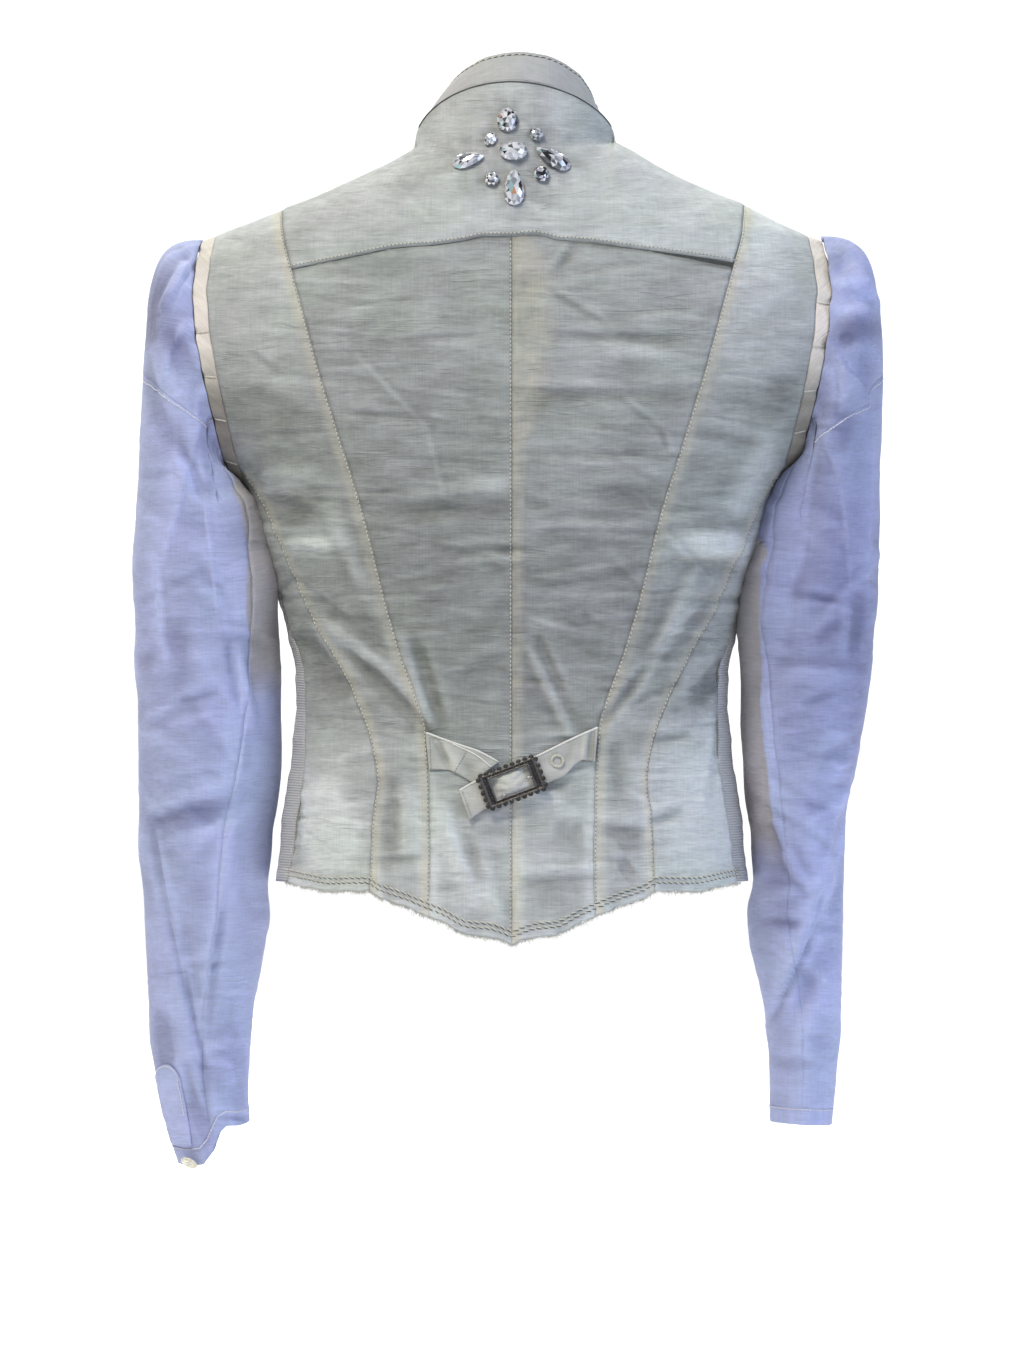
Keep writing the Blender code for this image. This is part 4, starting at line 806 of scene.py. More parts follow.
YOKE_ROWS = 40
x, z, half = panel(centre, inner_seam, back_top, lambda x, z: curve(YOKE_EDGE, x), 76, YOKE_ROWS)
x, z = np.concatenate([-x[:, :0:-1], x], axis=1), np.concatenate([z[:, :0:-1], z], axis=1)
z = z[0] + (curve(YOKE_EDGE, x[-1]) - z[0]) * np.linspace(0, 1, YOKE_ROWS + 1)[:, None]
relief = back_relief(x, z)
# Painted light across the yoke: paler towards the right half, darker towards the left, and painted shade
# that follows its relief
sew("linen_back_yoke", on_body(x, z, 1), ["back_yoke"], "vest_linen", relief,
    {"sheer": paleness(x, z, YOKE_TONE) - x + 0.04 * wave(x, 60 * MM, 43)
     + shadowed(relief - 0.7 * MM - high_shoulder(x, z))}, out=body_out(x, z, 1),
    level=girth(x, z))

# %% [markdown]
# ## The ribbed side inserts
# A strip of rib knit runs down each side, so the vest can stretch. Its ribs lie level and are
# 1.6 mm apart. They are a wave in the shading of the surface, and the same wave is painted into the
# colour as shade in the grooves and light on the crests.

# %% Rib knit
RIB_PITCH = 1.6 * MM
ONE_CREST = 0.3183  # the scale at which a wave texture has about one crest for each unit
CLOTHS["rib_knit"], tree = fresh("grey_rib_knit", Roughness=0.9, Sheen_Weight=0.2)
cut = add(tree, "UVMap", {"uv_map": "cut"})
stretch = add(tree, "Mapping", None, {"Scale": (0.0, 1 / RIB_PITCH, 1)}, {"Vector": cut})
ribs = add(tree, "TexWave", {"bands_direction": "Y"},
           {"Scale": ONE_CREST, "Distortion": 0.6, "Detail": 1.0}, {"Vector": stretch})
yarn = add(tree, "TexNoise", None, {"Scale": 700.0, "Detail": 2.0}, {"Vector": cut})
mixed = calc(tree, "MULTIPLY_ADD", yarn, 0.5, ribs)
lift = add(tree, "Bump", None, {"Strength": 0.7, "Distance": 0.5 * MM}, {"Height": mixed})
# Painted shade in the rib grooves and painted light on the crests
knit = tinted(tree, "#9c9d9e", "#cfd0cf", remap(tree, mixed, 0.0, 1.5))
dress(tree, Base_Color=knit, Normal=lift)

RIB_COLUMNS = 19
share = np.linspace(0, 1, RIB_COLUMNS)


def rib_angles(z):
    """The angle of each column, from the back edge to the front edge of the insert."""
    back = np.arcsin((rib_back(z) / body("half_width", z)) ** (body("roundness", z) / 2))
    return back + (SIDE_FRONT_ANGLE - back) * share


high = np.full(RIB_COLUMNS, -248 * MM)
for settling in range(12):
    high = armhole_floor(round_body(rib_angles(high), high, 1)[:, 1])
z = high + (FRONT_HEM - high) * np.linspace(0, 1, 121)[:, None]
for hand, word in HANDS:
    grid = round_body(rib_angles(z), z, hand)
    relief = (0.3 * wave(z, 12 * MM, 52) + 0.7 * wave(z, 46 * MM, 51)) * MM
    relief = relief - 0.5 * MM * np.exp(-(np.minimum(share, 1 - share) / 0.05) ** 2)
    sew("knit_side_rib_" + word, grid, ["side_rib_" + word], "rib_knit", relief)

# %% [markdown]
# ## The fronts
# The front isn't in the picture. It is finished plainly, as such a vest is cut: one panel a side,
# easing over the chest, pulled in a little at the waist, and a folded button band down the middle.

# %% Front panels
FRONT_FOLDS = (
    (166, -215, 110, -240, 7, 1.2), (150, -300, 80, -345, 9, 1.6), (140, -330, 60, -380, 8, 1.4),
    (120, -400, 50, -372, 8, 1.3), (60, -200, 20, -260, 9, 0.9), (90, -110, 60, -170, 8, 1.0),
    (128, -440, 100, -478, 9, 1.4), (70, -420, 62, -478, 9, 1.3), (30, -350, 14, -395, 6, 1.0),
    (40, -455, 20, -480, 6, -0.9),
)


def front_relief(x, z):
    """The front's soft folds, uneven between the hands, and its crumples."""
    slip = np.where(x > 0, 0, 9 * MM)
    rise = -pressed(np.abs(x) + slip, z - 0.7 * slip, FRONT_FOLDS) - pressed(x, z, FRONT_CRUMPLES)
    rise += ripple(z, np.abs(x) - 13 * MM, 61, 0.4) + ripple(x, z - FRONT_HEM, 62, 0.5, 9, 16)
    rise += 0.6 * MM * wave(z + 0.3 * x, 70 * MM, 63) * wave(x, 90 * MM, 64)
    return rise + high_shoulder(x, z)


def front_side(z):
    """The rib's front edge, and above its notch the armhole."""
    return np.where(z > FRONT_NOTCH, armhole_width(z, -1), SIDE_SHARE * body("half_width", z))


FRONT_CRUMPLES = crumples(14, 150, (-180, 180), (-485, -110), (18, 70), (1.6, 3.2), (0.1, 0.4), 0.2)
FRONT_TONE = ((-60, 0.8), (-120, 0.62), (-200, 0.45), (-320, 0.36), (-400, 0.45), (-487, 0.7))
heights = np.linspace(-248 * MM, -200 * MM, 400)
beside = SIDE_SHARE * body("half_width", heights)
FRONT_NOTCH = heights[np.argmin(np.abs(armhole_floor(on_body(beside, heights, -1)[:, 1]) - heights))]

for hand, word in HANDS:
    x, z, grid = panel(lambda z: np.full_like(z, 0.4 * MM), front_side, lambda x, z: top_edge(x, -1),
                       lambda x, z: np.full_like(x, FRONT_HEM), 50, 120, -1, hand)
    relief = front_relief(x, z)
    sew("linen_front_" + word, grid, ["front_" + word], "vest_linen", relief,
        {"sheer": curve(FRONT_TONE, z, 1.0) + shadowed(relief),
         "allowance_and_sleeve_shade": np.minimum((front_side(z) - np.abs(x)) / MM, 99)})

# %% Front band, folded at both long edges
across = np.linspace(-12 * MM, 12 * MM, 21)
top = top_edge(across, -1) - 2.5 * MM
z = top + (FRONT_HEM + 1 * MM - top) * np.linspace(0, 1, 101)[:, None]
x = np.broadcast_to(across, z.shape)
edge = np.abs(x) - 12 * MM
relief = 1.5 * MM + ripple(z, edge + 2 * MM, 65, 0.25, 4) - 0.7 * MM * np.exp(edge / (0.8 * MM))
band_out = body_out(x, z, -1)
sew("linen_front_band", on_body(x, z, -1), ["front_band"], "vest_linen",
    relief + front_relief(x, z) * 0.25, {"sheer": 0.86 + 0.05 * wave(z, 40 * MM, 66)}, out=band_out)

# %% [markdown]
# ## Collar and armhole bindings
# Both are bands folded in two, so each is made as real ones are: an outer layer, a turned edge and
# an inner layer. The collar stands on the neck seam and leans in. The bindings stand off the armhole
# as narrow flat rings of tape.

# %% The stand collar
COLLAR_HEIGHT, COLLAR_STITCH_ROW = 21.0 * MM, 13
turns = np.linspace(0, math.pi - 0.01, 115)
neck_x = NECK_HALF_WIDTH * np.sin(turns)
neck_z = -NECK_DROP * (1 - np.cos(turns))
seam = np.where((np.cos(turns) > 0)[:, None], on_body(neck_x, neck_z, 1), on_body(neck_x, neck_z, -1))
lean = unit(np.stack([-0.30 * np.sin(turns), -0.52 * np.cos(turns), 0.80 + 0.06 * np.cos(turns)],
                     axis=-1))
rows = np.linspace(0.2 * MM, COLLAR_HEIGHT, 15)[:, None, None]
half = seam + lean * rows
collar_grid = np.concatenate([half[:, :0:-1] * np.array([-1, 1, 1]), half], axis=1)
collar_turn = np.concatenate([-turns[:0:-1], turns])
collar_grid[..., 0] -= 4.5 * MM * (1 + np.sin(collar_turn)) * (rows[..., 0] / (22.5 * MM)) ** 1.3
collar_middle = np.array([0, -20 * MM, -30 * MM])
soft = (0.35 * MM * wave(collar_turn * NECK_HALF_WIDTH, 26 * MM, 71)
        - 0.45 * MM * np.exp(-((rows[..., 0] - 19.3 * MM) / (0.9 * MM)) ** 2))
collar_face = collar_grid + out_of(collar_grid, False, collar_middle) * soft[..., None]
sew("linen_collar_stand", folded(collar_face, 1.1 * MM, collar_middle), ["collar_stand"],
    "collar_linen", 0.0, {"sheer": 0.75, "allowance_and_sleeve_shade": 99.0}, thickness=0.5,
    centre=collar_middle)


# %% The armhole bindings
def binding_way(turn):
    """The way the tape leaves the armhole: out, and a little inwards."""
    return unit(np.stack([np.ones_like(turn), -0.35 * np.sin(turn), -0.35 * np.cos(turn)], axis=-1))


def wrap(angle):
    """An angle between minus and plus half a turn."""
    return (angle + math.pi) % (2 * math.pi) - math.pi


BINDING_WIDTH = 9 * MM
# Painted light and shade down the binding: pale over the shoulder, dark low in the armhole
BINDING_LIGHT_AND_SHADE = ((-90, 0.80), (-115, 0.92), (-150, 0.98), (-170, 0.74), (-200, 0.12), (-215, 0.06),
                (-250, 0.05))
BINDING_TURNS = circle(280)
BINDING_ROWS = 8
binding_faces = {}
TACKS = {1: (-153, -180, -207, -233), -1: (-134, -162, -189, -214)}
for hand, word in HANDS:
    reach = np.linspace(0.3 * MM, BINDING_WIDTH, BINDING_ROWS)[:, None, None]
    grid = armhole(wrap(BINDING_TURNS)) + binding_way(BINDING_TURNS) * reach
    grid[..., 0] *= hand
    middle = np.array([grid[..., 0].mean(), 0, ARMHOLE_MIDDLE])
    bow = np.sin(math.pi * np.linspace(0, 1, BINDING_ROWS))[:, None]
    behind = np.sin(BINDING_TURNS)
    soft = 0.4 * MM * wave(behind * 90 * MM, 22 * MM, 72 + hand) * bow
    for height in TACKS[hand]:
        pinch = np.exp(-((grid[..., 2] - height * MM) / (2.4 * MM)) ** 2) * (behind > 0)
        soft = soft - 0.9 * MM * pinch * np.linspace(0.4, 1.6, BINDING_ROWS)[:, None]
    binding_faces[hand] = grid + out_of(grid, True, middle) * soft[..., None]
    tone = curve(BINDING_LIGHT_AND_SHADE, grid[0, :, 2], 1.0) + 0.06 * wave(BINDING_TURNS, 0.3, 73)
    band = folded(binding_faces[hand], 0.9 * MM, middle, True)
    sew("linen_armhole_binding_" + word, band, ["armhole_binding_" + word], "binding_linen", 0.0,
        {"sheer": np.broadcast_to(tone, band.shape[:2])}, closed=True, thickness=0.5,
        centre=middle)

# %% [markdown]
# ## The sleeves
# Each sleeve is a tube from the binding to the cuff. The head leaves the armhole outwards and turns
# down over the upper arm, which a smooth four-point curve gives, and below it rings of a changing
# oval follow the arm. The cap, the upper and the under sleeve share one formula, so their seams meet.

# %% The sleeve form
HEAD_END = -275 * MM
CAP_REACH = math.radians(118)
SEAM_ANGLE_FRONT = math.radians(-128)
CUFF_DEPTH = 10 * MM
SLEEVE_OUTLINES = {
    1: {"outer": ((-255, 229.5), (-294, 232.4), (-329, 231), (-364, 230), (-413, 229),
                  (-470, 228.5), (-500, 226), (-541, 224), (-584, 222), (-610, 219),
                  (-630, 214), (-649, 209), (-664, 204)),
        "inner": ((-275, 160), (-291, 155.5), (-310, 149), (-334, 143), (-364, 141.5),
                  (-393, 141), (-413, 141), (-442, 144), (-462, 147.5), (-485, 148.5),
                  (-506, 148), (-523, 151), (-547, 155), (-564, 158.5), (-584, 160.5),
                  (-619, 162), (-640, 161)),
        "tilt": ((-275, 10), (-340, 3), (-400, 0), (-560, -5), (-620, -9), (-649, -13)),
        "end": -648 * MM},
    -1: {"outer": ((-255, 224.6), (-312, 224), (-347, 220.5), (-382, 217), (-411, 211.6),
                   (-446, 205.5), (-471, 203.8), (-530, 202.8), (-576, 201.6), (-617, 198.5),
                   (-640, 196.5)),
         "inner": ((-275, 160), (-291, 155.5), (-310, 149), (-334, 142.5), (-365, 140.5),
                   (-394, 140), (-410, 140.5), (-443, 144), (-463, 147), (-486, 147.5),
                   (-506, 144), (-525, 145.5), (-539, 149), (-553, 152.5), (-578, 156.5),
                   (-602, 158), (-640, 158.5)),
         "tilt": ((-275, 10), (-340, 3), (-400, 0), (-560, -1), (-640, -1)),
         "end": -636 * MM},
}
SLEEVE_DEPTH = ((-275, 52), (-340, 50), (-400, 47), (-460, 45), (-520, 43), (-580, 40), (-650, 37))
SLEEVE_PITCH = ((-275, 0), (-340, -1), (-400, -4), (-460, -8), (-520, -14), (-580, -20), (-650, -27))
SLEEVE_SEAM = ((-230, 136), (-300, 131), (-345, 128), (-393, 119), (-439, 110), (-471, 106),
               (-502, 101), (-540, 96), (-600, 93), (-660, 92))
SLEEVE_FOLDS = {  # angle in degrees and height in mm of each end, width and depth in mm
    1: ((20, -395, 62, -500, 11, 3.5), (62, -500, 96, -600, 10, 4.0), (60, -430, 105, -455, 8, 2.5),
        (70, -465, 118, -440, 8, 2.5), (55, -235, 100, -275, 12, 3.0), (-40, -400, -90, -470, 12, 3.5),
        (-60, -240, -105, -280, 12, 3.0)),
    -1: ((15, -450, 60, -530, 11, 4.0), (60, -530, 110, -575, 10, 4.0), (48, -190, 62, -225, 9, 3.5),
         (75, -400, 118, -430, 9, 2.5), (55, -300, 100, -330, 12, 2.5), (-40, -390, -90, -460, 12, 3.5),
         (-60, -240, -105, -280, 12, 3.0)),
}
FOLD_RADIUS = 42
ARMPIT_SLACK = {1: (-280, 42, 14.0), -1: (-284, 62, 14.5)}  # height, reach and depth in mm
CUFF_STEP = ((-1, 0), (-0.7, 2), (-0.4, 6), (-0.2, 5), (0.05, -6), (0.25, -9), (0.6, -6), (1, 0))


def sleeve_ring(hand, angle, z):
    """One ring of the arm: an oval between the two outlines, tilted, pressed by the main folds."""
    shape = SLEEVE_OUTLINES[hand]
    tilt = curve(shape["tilt"], z)
    outer, inner = curve(shape["outer"], z + tilt), curve(shape["inner"], z - tilt)
    x = (outer + inner) / 2 + (outer - inner) / 2 * np.cos(angle)
    y = curve(SLEEVE_PITCH, z) + curve(SLEEVE_DEPTH, z) * np.sin(angle)
    height = z + tilt * np.cos(angle)
    if hand > 0:
        step = np.interp(np.cos(angle), *np.array(CUFF_STEP).T) * MM
        height = height + step * np.clip((-z - 575 * MM) / (60 * MM), 0, 1) ** 2
    rows = [(math.radians(a) * FOLD_RADIUS, b, math.radians(c) * FOLD_RADIUS, d, wide, deep)
            for a, b, c, d, wide, deep in SLEEVE_FOLDS[hand]]
    folds = pressed(wrap(angle) * FOLD_RADIUS * MM, height, rows)
    folds = np.minimum(folds, 0.25 * (outer - inner))
    points = np.stack(np.broadcast_arrays(x, y, height), axis=-1)
    out = np.stack(np.broadcast_arrays(np.cos(angle), np.sin(angle), 0 * z), axis=-1)
    return points - out * folds[..., None]


def sleeve_head(hand, angle, part):
    """From the binding to the arm along a cubic curve: out first, then down onto the ring."""
    high = (1 + np.cos(angle)) / 2
    start = armhole(wrap(angle)) + binding_way(angle) * (BINDING_WIDTH + 0.8 * MM)
    out = np.stack([np.ones_like(angle), 0.25 * np.sin(angle), 0.04 * np.cos(angle)], axis=-1)
    leave = start + out * ((6 + 34 * high ** 1.5) * MM)[..., None]
    end = sleeve_ring(hand, angle, np.full_like(angle, HEAD_END))
    rise = np.stack([-0.06 * high, 0 * angle, np.ones_like(angle)], axis=-1)
    arrive = end + rise * ((12 + 128 * high ** 1.9) * MM)[..., None]
    part = np.asarray(part)[..., None]
    return ((1 - part) ** 3 * start + 3 * (1 - part) ** 2 * part * leave
            + 3 * (1 - part) * part ** 2 * arrive + part ** 3 * end)


def sleeve_point(hand, angle, run):
    """Run 0 to 1 is the head, 1 to 2 the arm down to the cuff's edge."""
    angle, run = np.broadcast_arrays(np.asarray(angle, float), np.asarray(run, float))
    z = HEAD_END + (SLEEVE_OUTLINES[hand]["end"] - HEAD_END) * np.clip(run - 1, 0, 1)
    head = sleeve_head(hand, angle, np.clip(run, 0, 1))
    return np.where((run < 1)[..., None], head, sleeve_ring(hand, angle, z)) * np.array([hand, 1, 1])


def sleeve_out(hand, angle, run):
    """Unit normals of the sleeve, from small steps round and down."""
    turn, slide = math.radians(1.5), 0.006
    over = sleeve_point(hand, angle + turn, run) - sleeve_point(hand, angle - turn, run)
    down = sleeve_point(hand, angle, run + slide) - sleeve_point(hand, angle, run - slide)
    return unit(-hand * np.cross(over, down))


def cap_seam(hand, angle):
    """How far down the head the seam across the upper arm lies at each angle."""
    share = np.clip(np.abs(wrap(angle)) / CAP_REACH, 0, 1)
    height = (-176 - 34 * share ** 1.4) * MM
    if hand < 0:
        height = height - 9 * MM * np.clip((wrap(angle) - 0.80) / 0.06, 0, 1)
    parts = np.linspace(0, 1, 240)
    line = sleeve_head(hand, *np.meshgrid(angle, parts, indexing="ij"))
    return np.maximum(parts[np.argmax(line[..., 2] <= height[:, None], axis=1)], 0.05)


def back_seam_angle(hand, run):
    """The angle of the sleeve's back seam at each run."""
    z = HEAD_END + (SLEEVE_OUTLINES[hand]["end"] - HEAD_END) * (run - 1)
    at = np.where(run < 1, HEAD_END + 60 * MM * (1 - run), z)
    return np.radians(curve(SLEEVE_SEAM, at, 1.0))


# %% Folds of the sleeves
SLEEVE_CREASES = {  # across and up in mm as seen from the back, then width and depth
    1: ((198, -112, 212, -138, 3.5, -1.8), (204, -100, 190, -118, 3, 1.2),
        (210, -150, 196, -178, 6, 1.6), (222, -140, 219, -160, 6, 1.4), (206, -226, 193, -254, 3, -1.0),
        (200, -222, 188, -250, 3, 0.9), (217, -290, 213, -340, 2, -0.7),
        (213, -340, 210, -352, 4, -0.9), (166, -350, 157, -392, 3, -1.0),
        (172, -344, 164, -388, 3, 1.2), (218, -452, 168, -436, 5, 1.8), (212, -466, 172, -452, 4, -0.9),
        (221, -455, 207, -520, 2.4, 1.5), (207, -520, 188, -600, 2.4, 1.1),
        (188, -610, 186, -645, 3.2, 0.8), (172, -470, 168, -505, 5, -1.1),
        (175, -500, 184, -560, 2.4, 1.0), (184, -560, 188, -590, 2.4, 0.6),
        (200, -596, 190, -640, 3, 1.0), (206, -380, 180, -372, 3, 0.8), (208, -392, 184, -386, 3, -0.7),
        (216, -570, 208, -620, 6, 1.2), (168, -560, 164, -620, 5, 1.1), (205, -330, 200, -366, 7, 0.8),
        (222, -170, 214, -210, 5, 1.0)),
    -1: ((202, -112, 222, -138, 3, -1.8), (205, -108, 200, -120, 4, 1.4),
         (202, -130, 210, -136, 4, 1.5), (200, -156, 210, -158, 5, 1.6),
         (204, -140, 216, -142, 5, -1.2), (212, -312, 208, -350, 4, 1.0),
         (158, -454, 167, -480, 3.0, 1.2), (167, -480, 180, -496, 3.0, 1.0),
         (153, -512, 178, -513, 3.4, 0.9), (166, -470, 176, -488, 4, -1.2),
         (203, -446, 197, -472, 2.6, 1.2), (197, -472, 176, -536, 2.6, 1.3),
         (176, -536, 158, -574, 2.6, 1.1), (206, -446, 190, -505, 3.5, -1.0),
         (172, -300, 164, -340, 6, 0.8), (190, -410, 205, -404, 4, 0.9), (186, -340, 200, -330, 4, 0.8),
         (178, -380, 196, -372, 3, 0.7), (188, -600, 160, -596, 3, 0.6)),
}
# Painted light and shade down each sleeve by height; the right sleeve is painted darker along its upper
# half
SLEEVE_TONE = {1: ((-80, 0.62), (-130, 0.60), (-200, 0.68), (-300, 0.68), (-420, 0.66), (-520, 0.66),
                   (-650, 0.76)),
               -1: ((-80, 0.50), (-130, 0.52), (-180, 0.34), (-240, 0.27), (-330, 0.32), (-400, 0.48),
                    (-460, 0.70), (-520, 0.76), (-650, 0.95))}
# Soft spots of painted light and painted shade along the sleeves' folds
SLEEVE_LIGHT_AND_SHADE_SPOTS = {  # across, up, half width, half height in mm, how much paler
    1: ((165, -480, 16, 110, 0.35), (168, -275, 10, 24, -0.35), (190, -200, 26, 60, 0.10),
        (220, -140, 8, 30, -0.30), (198, -112, 10, 10, 0.22), (211, -138, 6, 10, -0.35),
        (206, -158, 8, 14, -0.2), (196, -222, 16, 12, -0.25), (160, -560, 16, 60, 0.2),
        (150, -445, 15, 70, 0.72), (165, -262, 14, 20, -0.3), (205, -187, 10, 8, 0.25),
        (198, -240, 12, 14, 0.18), (216, -315, 6, 30, 0.25), (162, -400, 10, 60, 0.16),
        (160, -540, 12, 80, 0.22), (205, -448, 22, 8, -0.16), (195, -575, 8, 40, -0.12)),
    -1: ((213, -150, 12, 8, -0.55), (200, -156, 9, 8, -0.35), (210, -176, 6, 12, -0.30),
         (197, -110, 6, 8, -0.4), (204, -124, 8, 3.5, 0.35), (203, -140, 8, 3.5, 0.35),
         (214, -130, 7, 4, 0.3), (196, -186, 6, 12, 0.3), (201, -204, 8, 6, -0.25),
         (147, -405, 10, 50, 0.80), (206, -120, 8, 26, -0.10), (205, -112, 10, 8, 0.2),
         (206, -176, 8, 14, 0.2), (217, -265, 5, 60, 0.2), (163, -490, 14, 45, -0.50),
         (200, -420, 18, 50, 0.15), (160, -330, 10, 60, -0.08), (205, -560, 16, 70, 0.1)),
}
SLEEVE_LAPS = {  # (height, across) points, how far it eases off, how high, and the raised side
    1: ((((-447, 222), (-500, 211), (-529, 203), (-558, 198), (-602, 190)), 9, 1.7, 1),
        (((-320, 164), (-335, 160), (-400, 163), (-455, 168), (-530, 183), (-600, 188)), 10, 1.3, 1),
        (((-98, 190), (-120, 200), (-140, 210)), 6, 3.6, 1), (((-116, 195), (-142, 207)), 4, 2.4, -1),
        (((-146, 196), (-165, 208), (-186, 211)), 6, 2.4, 1),
        (((-205, 188), (-250, 200), (-300, 214)), 9, 1.4, 1),
        (((-256, 187), (-300, 182), (-326, 179)), 3.5, 1.6, -1),
        (((-250, 175), (-288, 170), (-330, 163)), 4, 1.6, -1)),
    -1: ((((-453, 203), (-478, 196), (-512, 185), (-537, 173), (-574, 157)), 10, 2.6, -1),
         (((-242, 180), (-265, 170), (-301, 162), (-342, 155.6), (-376, 152.5), (-413, 156),
           (-454, 161), (-492, 172)), 10, 1.8, 1),
         (((-150, 190), (-173, 201), (-186, 209), (-204, 214)), 9, 3.8, -1),
         (((-100, 198), (-128, 214)), 6, 3.2, 1), (((-118, 200), (-146, 214)), 5, 2.4, -1),
         (((-210, 186), (-250, 200), (-310, 206)), 9, 1.5, 1), (((-222, 217), (-304, 216)), 3, 1.3, -1)),
}
SLEEVE_CRUMPLES = {hand: np.concatenate([
    crumples(80 + hand, 120, (150, 232), (-640, -120), (10, 46), (1.2, 2.6), (0.08, 0.34), 0.2),
    crumples(90 + hand, 26, (150, 228), (-600, -240), (25, 60), (2.5, 5.0), (0.2, 0.5), 0.8)])
    for hand in (1, -1)}


def sleeve_relief(hand, angle, run, points):
    """The fine folds: as seen on the back half, mirrored and shifted on the front half."""
    angle, run = np.broadcast_arrays(angle, run)
    x, z = np.abs(points[..., 0]), points[..., 2]
    behind = np.sin(angle) >= 0
    drop = np.where(behind, 0, 17 * MM)
    share = np.clip(np.abs(np.sin(angle)) * 1.6, 0, 1)
    rise = -1.7 * share * pressed(x, z + drop, with_ridges(SLEEVE_CREASES[hand]))
    crumpled = with_ridges(SLEEVE_CRUMPLES[hand])
    rise -= 1.9 * pressed(x + 0.4 * drop, z + drop, crumpled) * (0.4 + 0.6 * share)
    rise += lapped(x, z + drop, SLEEVE_LAPS[hand]) * np.clip(np.abs(np.sin(angle)) * 3, 0, 1)

    # Slack cloth at the armpit, and on the right a fuller head
    slack = np.clip(np.cos(2 * (angle - math.radians(150))), 0, 1) ** 2 * (np.abs(angle - 2.6) < 0.8)
    middle, reach, high = ARMPIT_SLACK[hand]
    slack = slack * np.exp(-((z - middle * MM) / (reach * MM)) ** 4) * np.clip(run / 0.3, 0, 1)
    rise += high * MM * slack
    if hand < 0:
        rise += 6.5 * MM * np.clip(np.cos(angle), 0, 1) * np.exp(-((z + 165 * MM) / (70 * MM)) ** 2)

    # Gathers at the binding, small waves at the cuff, and long soft ones in between
    gather = np.exp(-np.clip(run, 0, 1) / 0.22) * (0.3 + 0.7 * (1 + np.cos(angle)) / 2)
    rise += 2.0 * MM * gather * wave(angle * 60 * MM, 17 * MM, 95 + hand)
    edge = np.clip(run - 1.93, 0, 1) / 0.07
    rise += 0.35 * MM * edge * wave(angle * 40 * MM, 12 * MM, 97 + hand)
    return rise + 1.6 * MM * wave(z, 74 * MM, 98 + hand) * wave(angle * 42 * MM + 0.3 * z, 62 * MM, 99)


def sleeve_pale(hand, points):
    """Painted shade and light: sleeves darker at the head and paler towards the cuff, with soft spots
    along the folds.
    """
    x, z = np.abs(points[..., 0]), points[..., 2]
    return curve(SLEEVE_TONE[hand], z, 1.0) + spots(x, z, SLEEVE_LIGHT_AND_SHADE_SPOTS[hand])


GREY_EDGE = {1: ((-250, 176), (-285, 169), (-322, 164), (-340, 160), (-400, 163), (-440, 168),
                 (-500, 172)),
             -1: ((-256, 148), (-272, 160), (-288, 166), (-301, 162), (-342, 155.6), (-376, 152.5),
                  (-413, 156), (-454, 161), (-492, 173))}
GREY_END = {1: 418, -1: 520}


def sleeve_grey(hand, points):
    """Painted grey shade on the side that faces the vest, down to the waist, given as a distance in mm
    in the allowance mask.
    """
    x, z = np.abs(points[..., 0]), points[..., 2]
    beyond = np.clip((x - curve(GREY_EDGE[hand], z)) / (5 * MM) + 0.5, 0, 1)
    low = np.clip((z + GREY_END[hand] * MM) / (90 * MM), 0, 1)
    return 14 - 14 * (1 - beyond) * low


# %% Cutting the sleeves
def arm_runs(first, last, head_rows, arm_rows):
    """Rows from each column's start through the head, then evenly down the arm."""
    head = np.linspace(0, 1, head_rows + 1)[:, None] * (1 - first) + first
    arm = 1 + (last - 1) * np.linspace(0, 1, arm_rows + 1)[1:, None]
    return np.concatenate([head, np.broadcast_to(arm, (arm_rows, len(first)))])


def sew_sleeve(name, hand, angle, run, nodes, thickness=0.7, closed=False,
               fold=0.0):
    """One piece of a sleeve, on the sleeve's surface between the given angles and runs."""
    grid, out = sleeve_point(hand, angle, run), sleeve_out(hand, angle, run)
    relief = sleeve_relief(hand, angle, run, grid)
    fields = {"sheer": sleeve_pale(hand, grid) + shadowed(np.minimum(relief, 2.2 * MM)),
              "allowance_and_sleeve_shade": sleeve_grey(hand, grid)}
    middle = np.array([hand * 185 * MM, -5 * MM, -400 * MM])
    if fold:
        pale = fields["sheer"]
        fields = {"sheer": np.concatenate([pale, pale[-1:].repeat(3, axis=0), pale[::-1]])}
        grid = folded(grid + out * relief[..., None], fold, middle, closed)
        relief, out = 0.0, None
    sew(name, grid, nodes, "sleeve_linen", relief, fields, closed, middle, thickness,
        out)


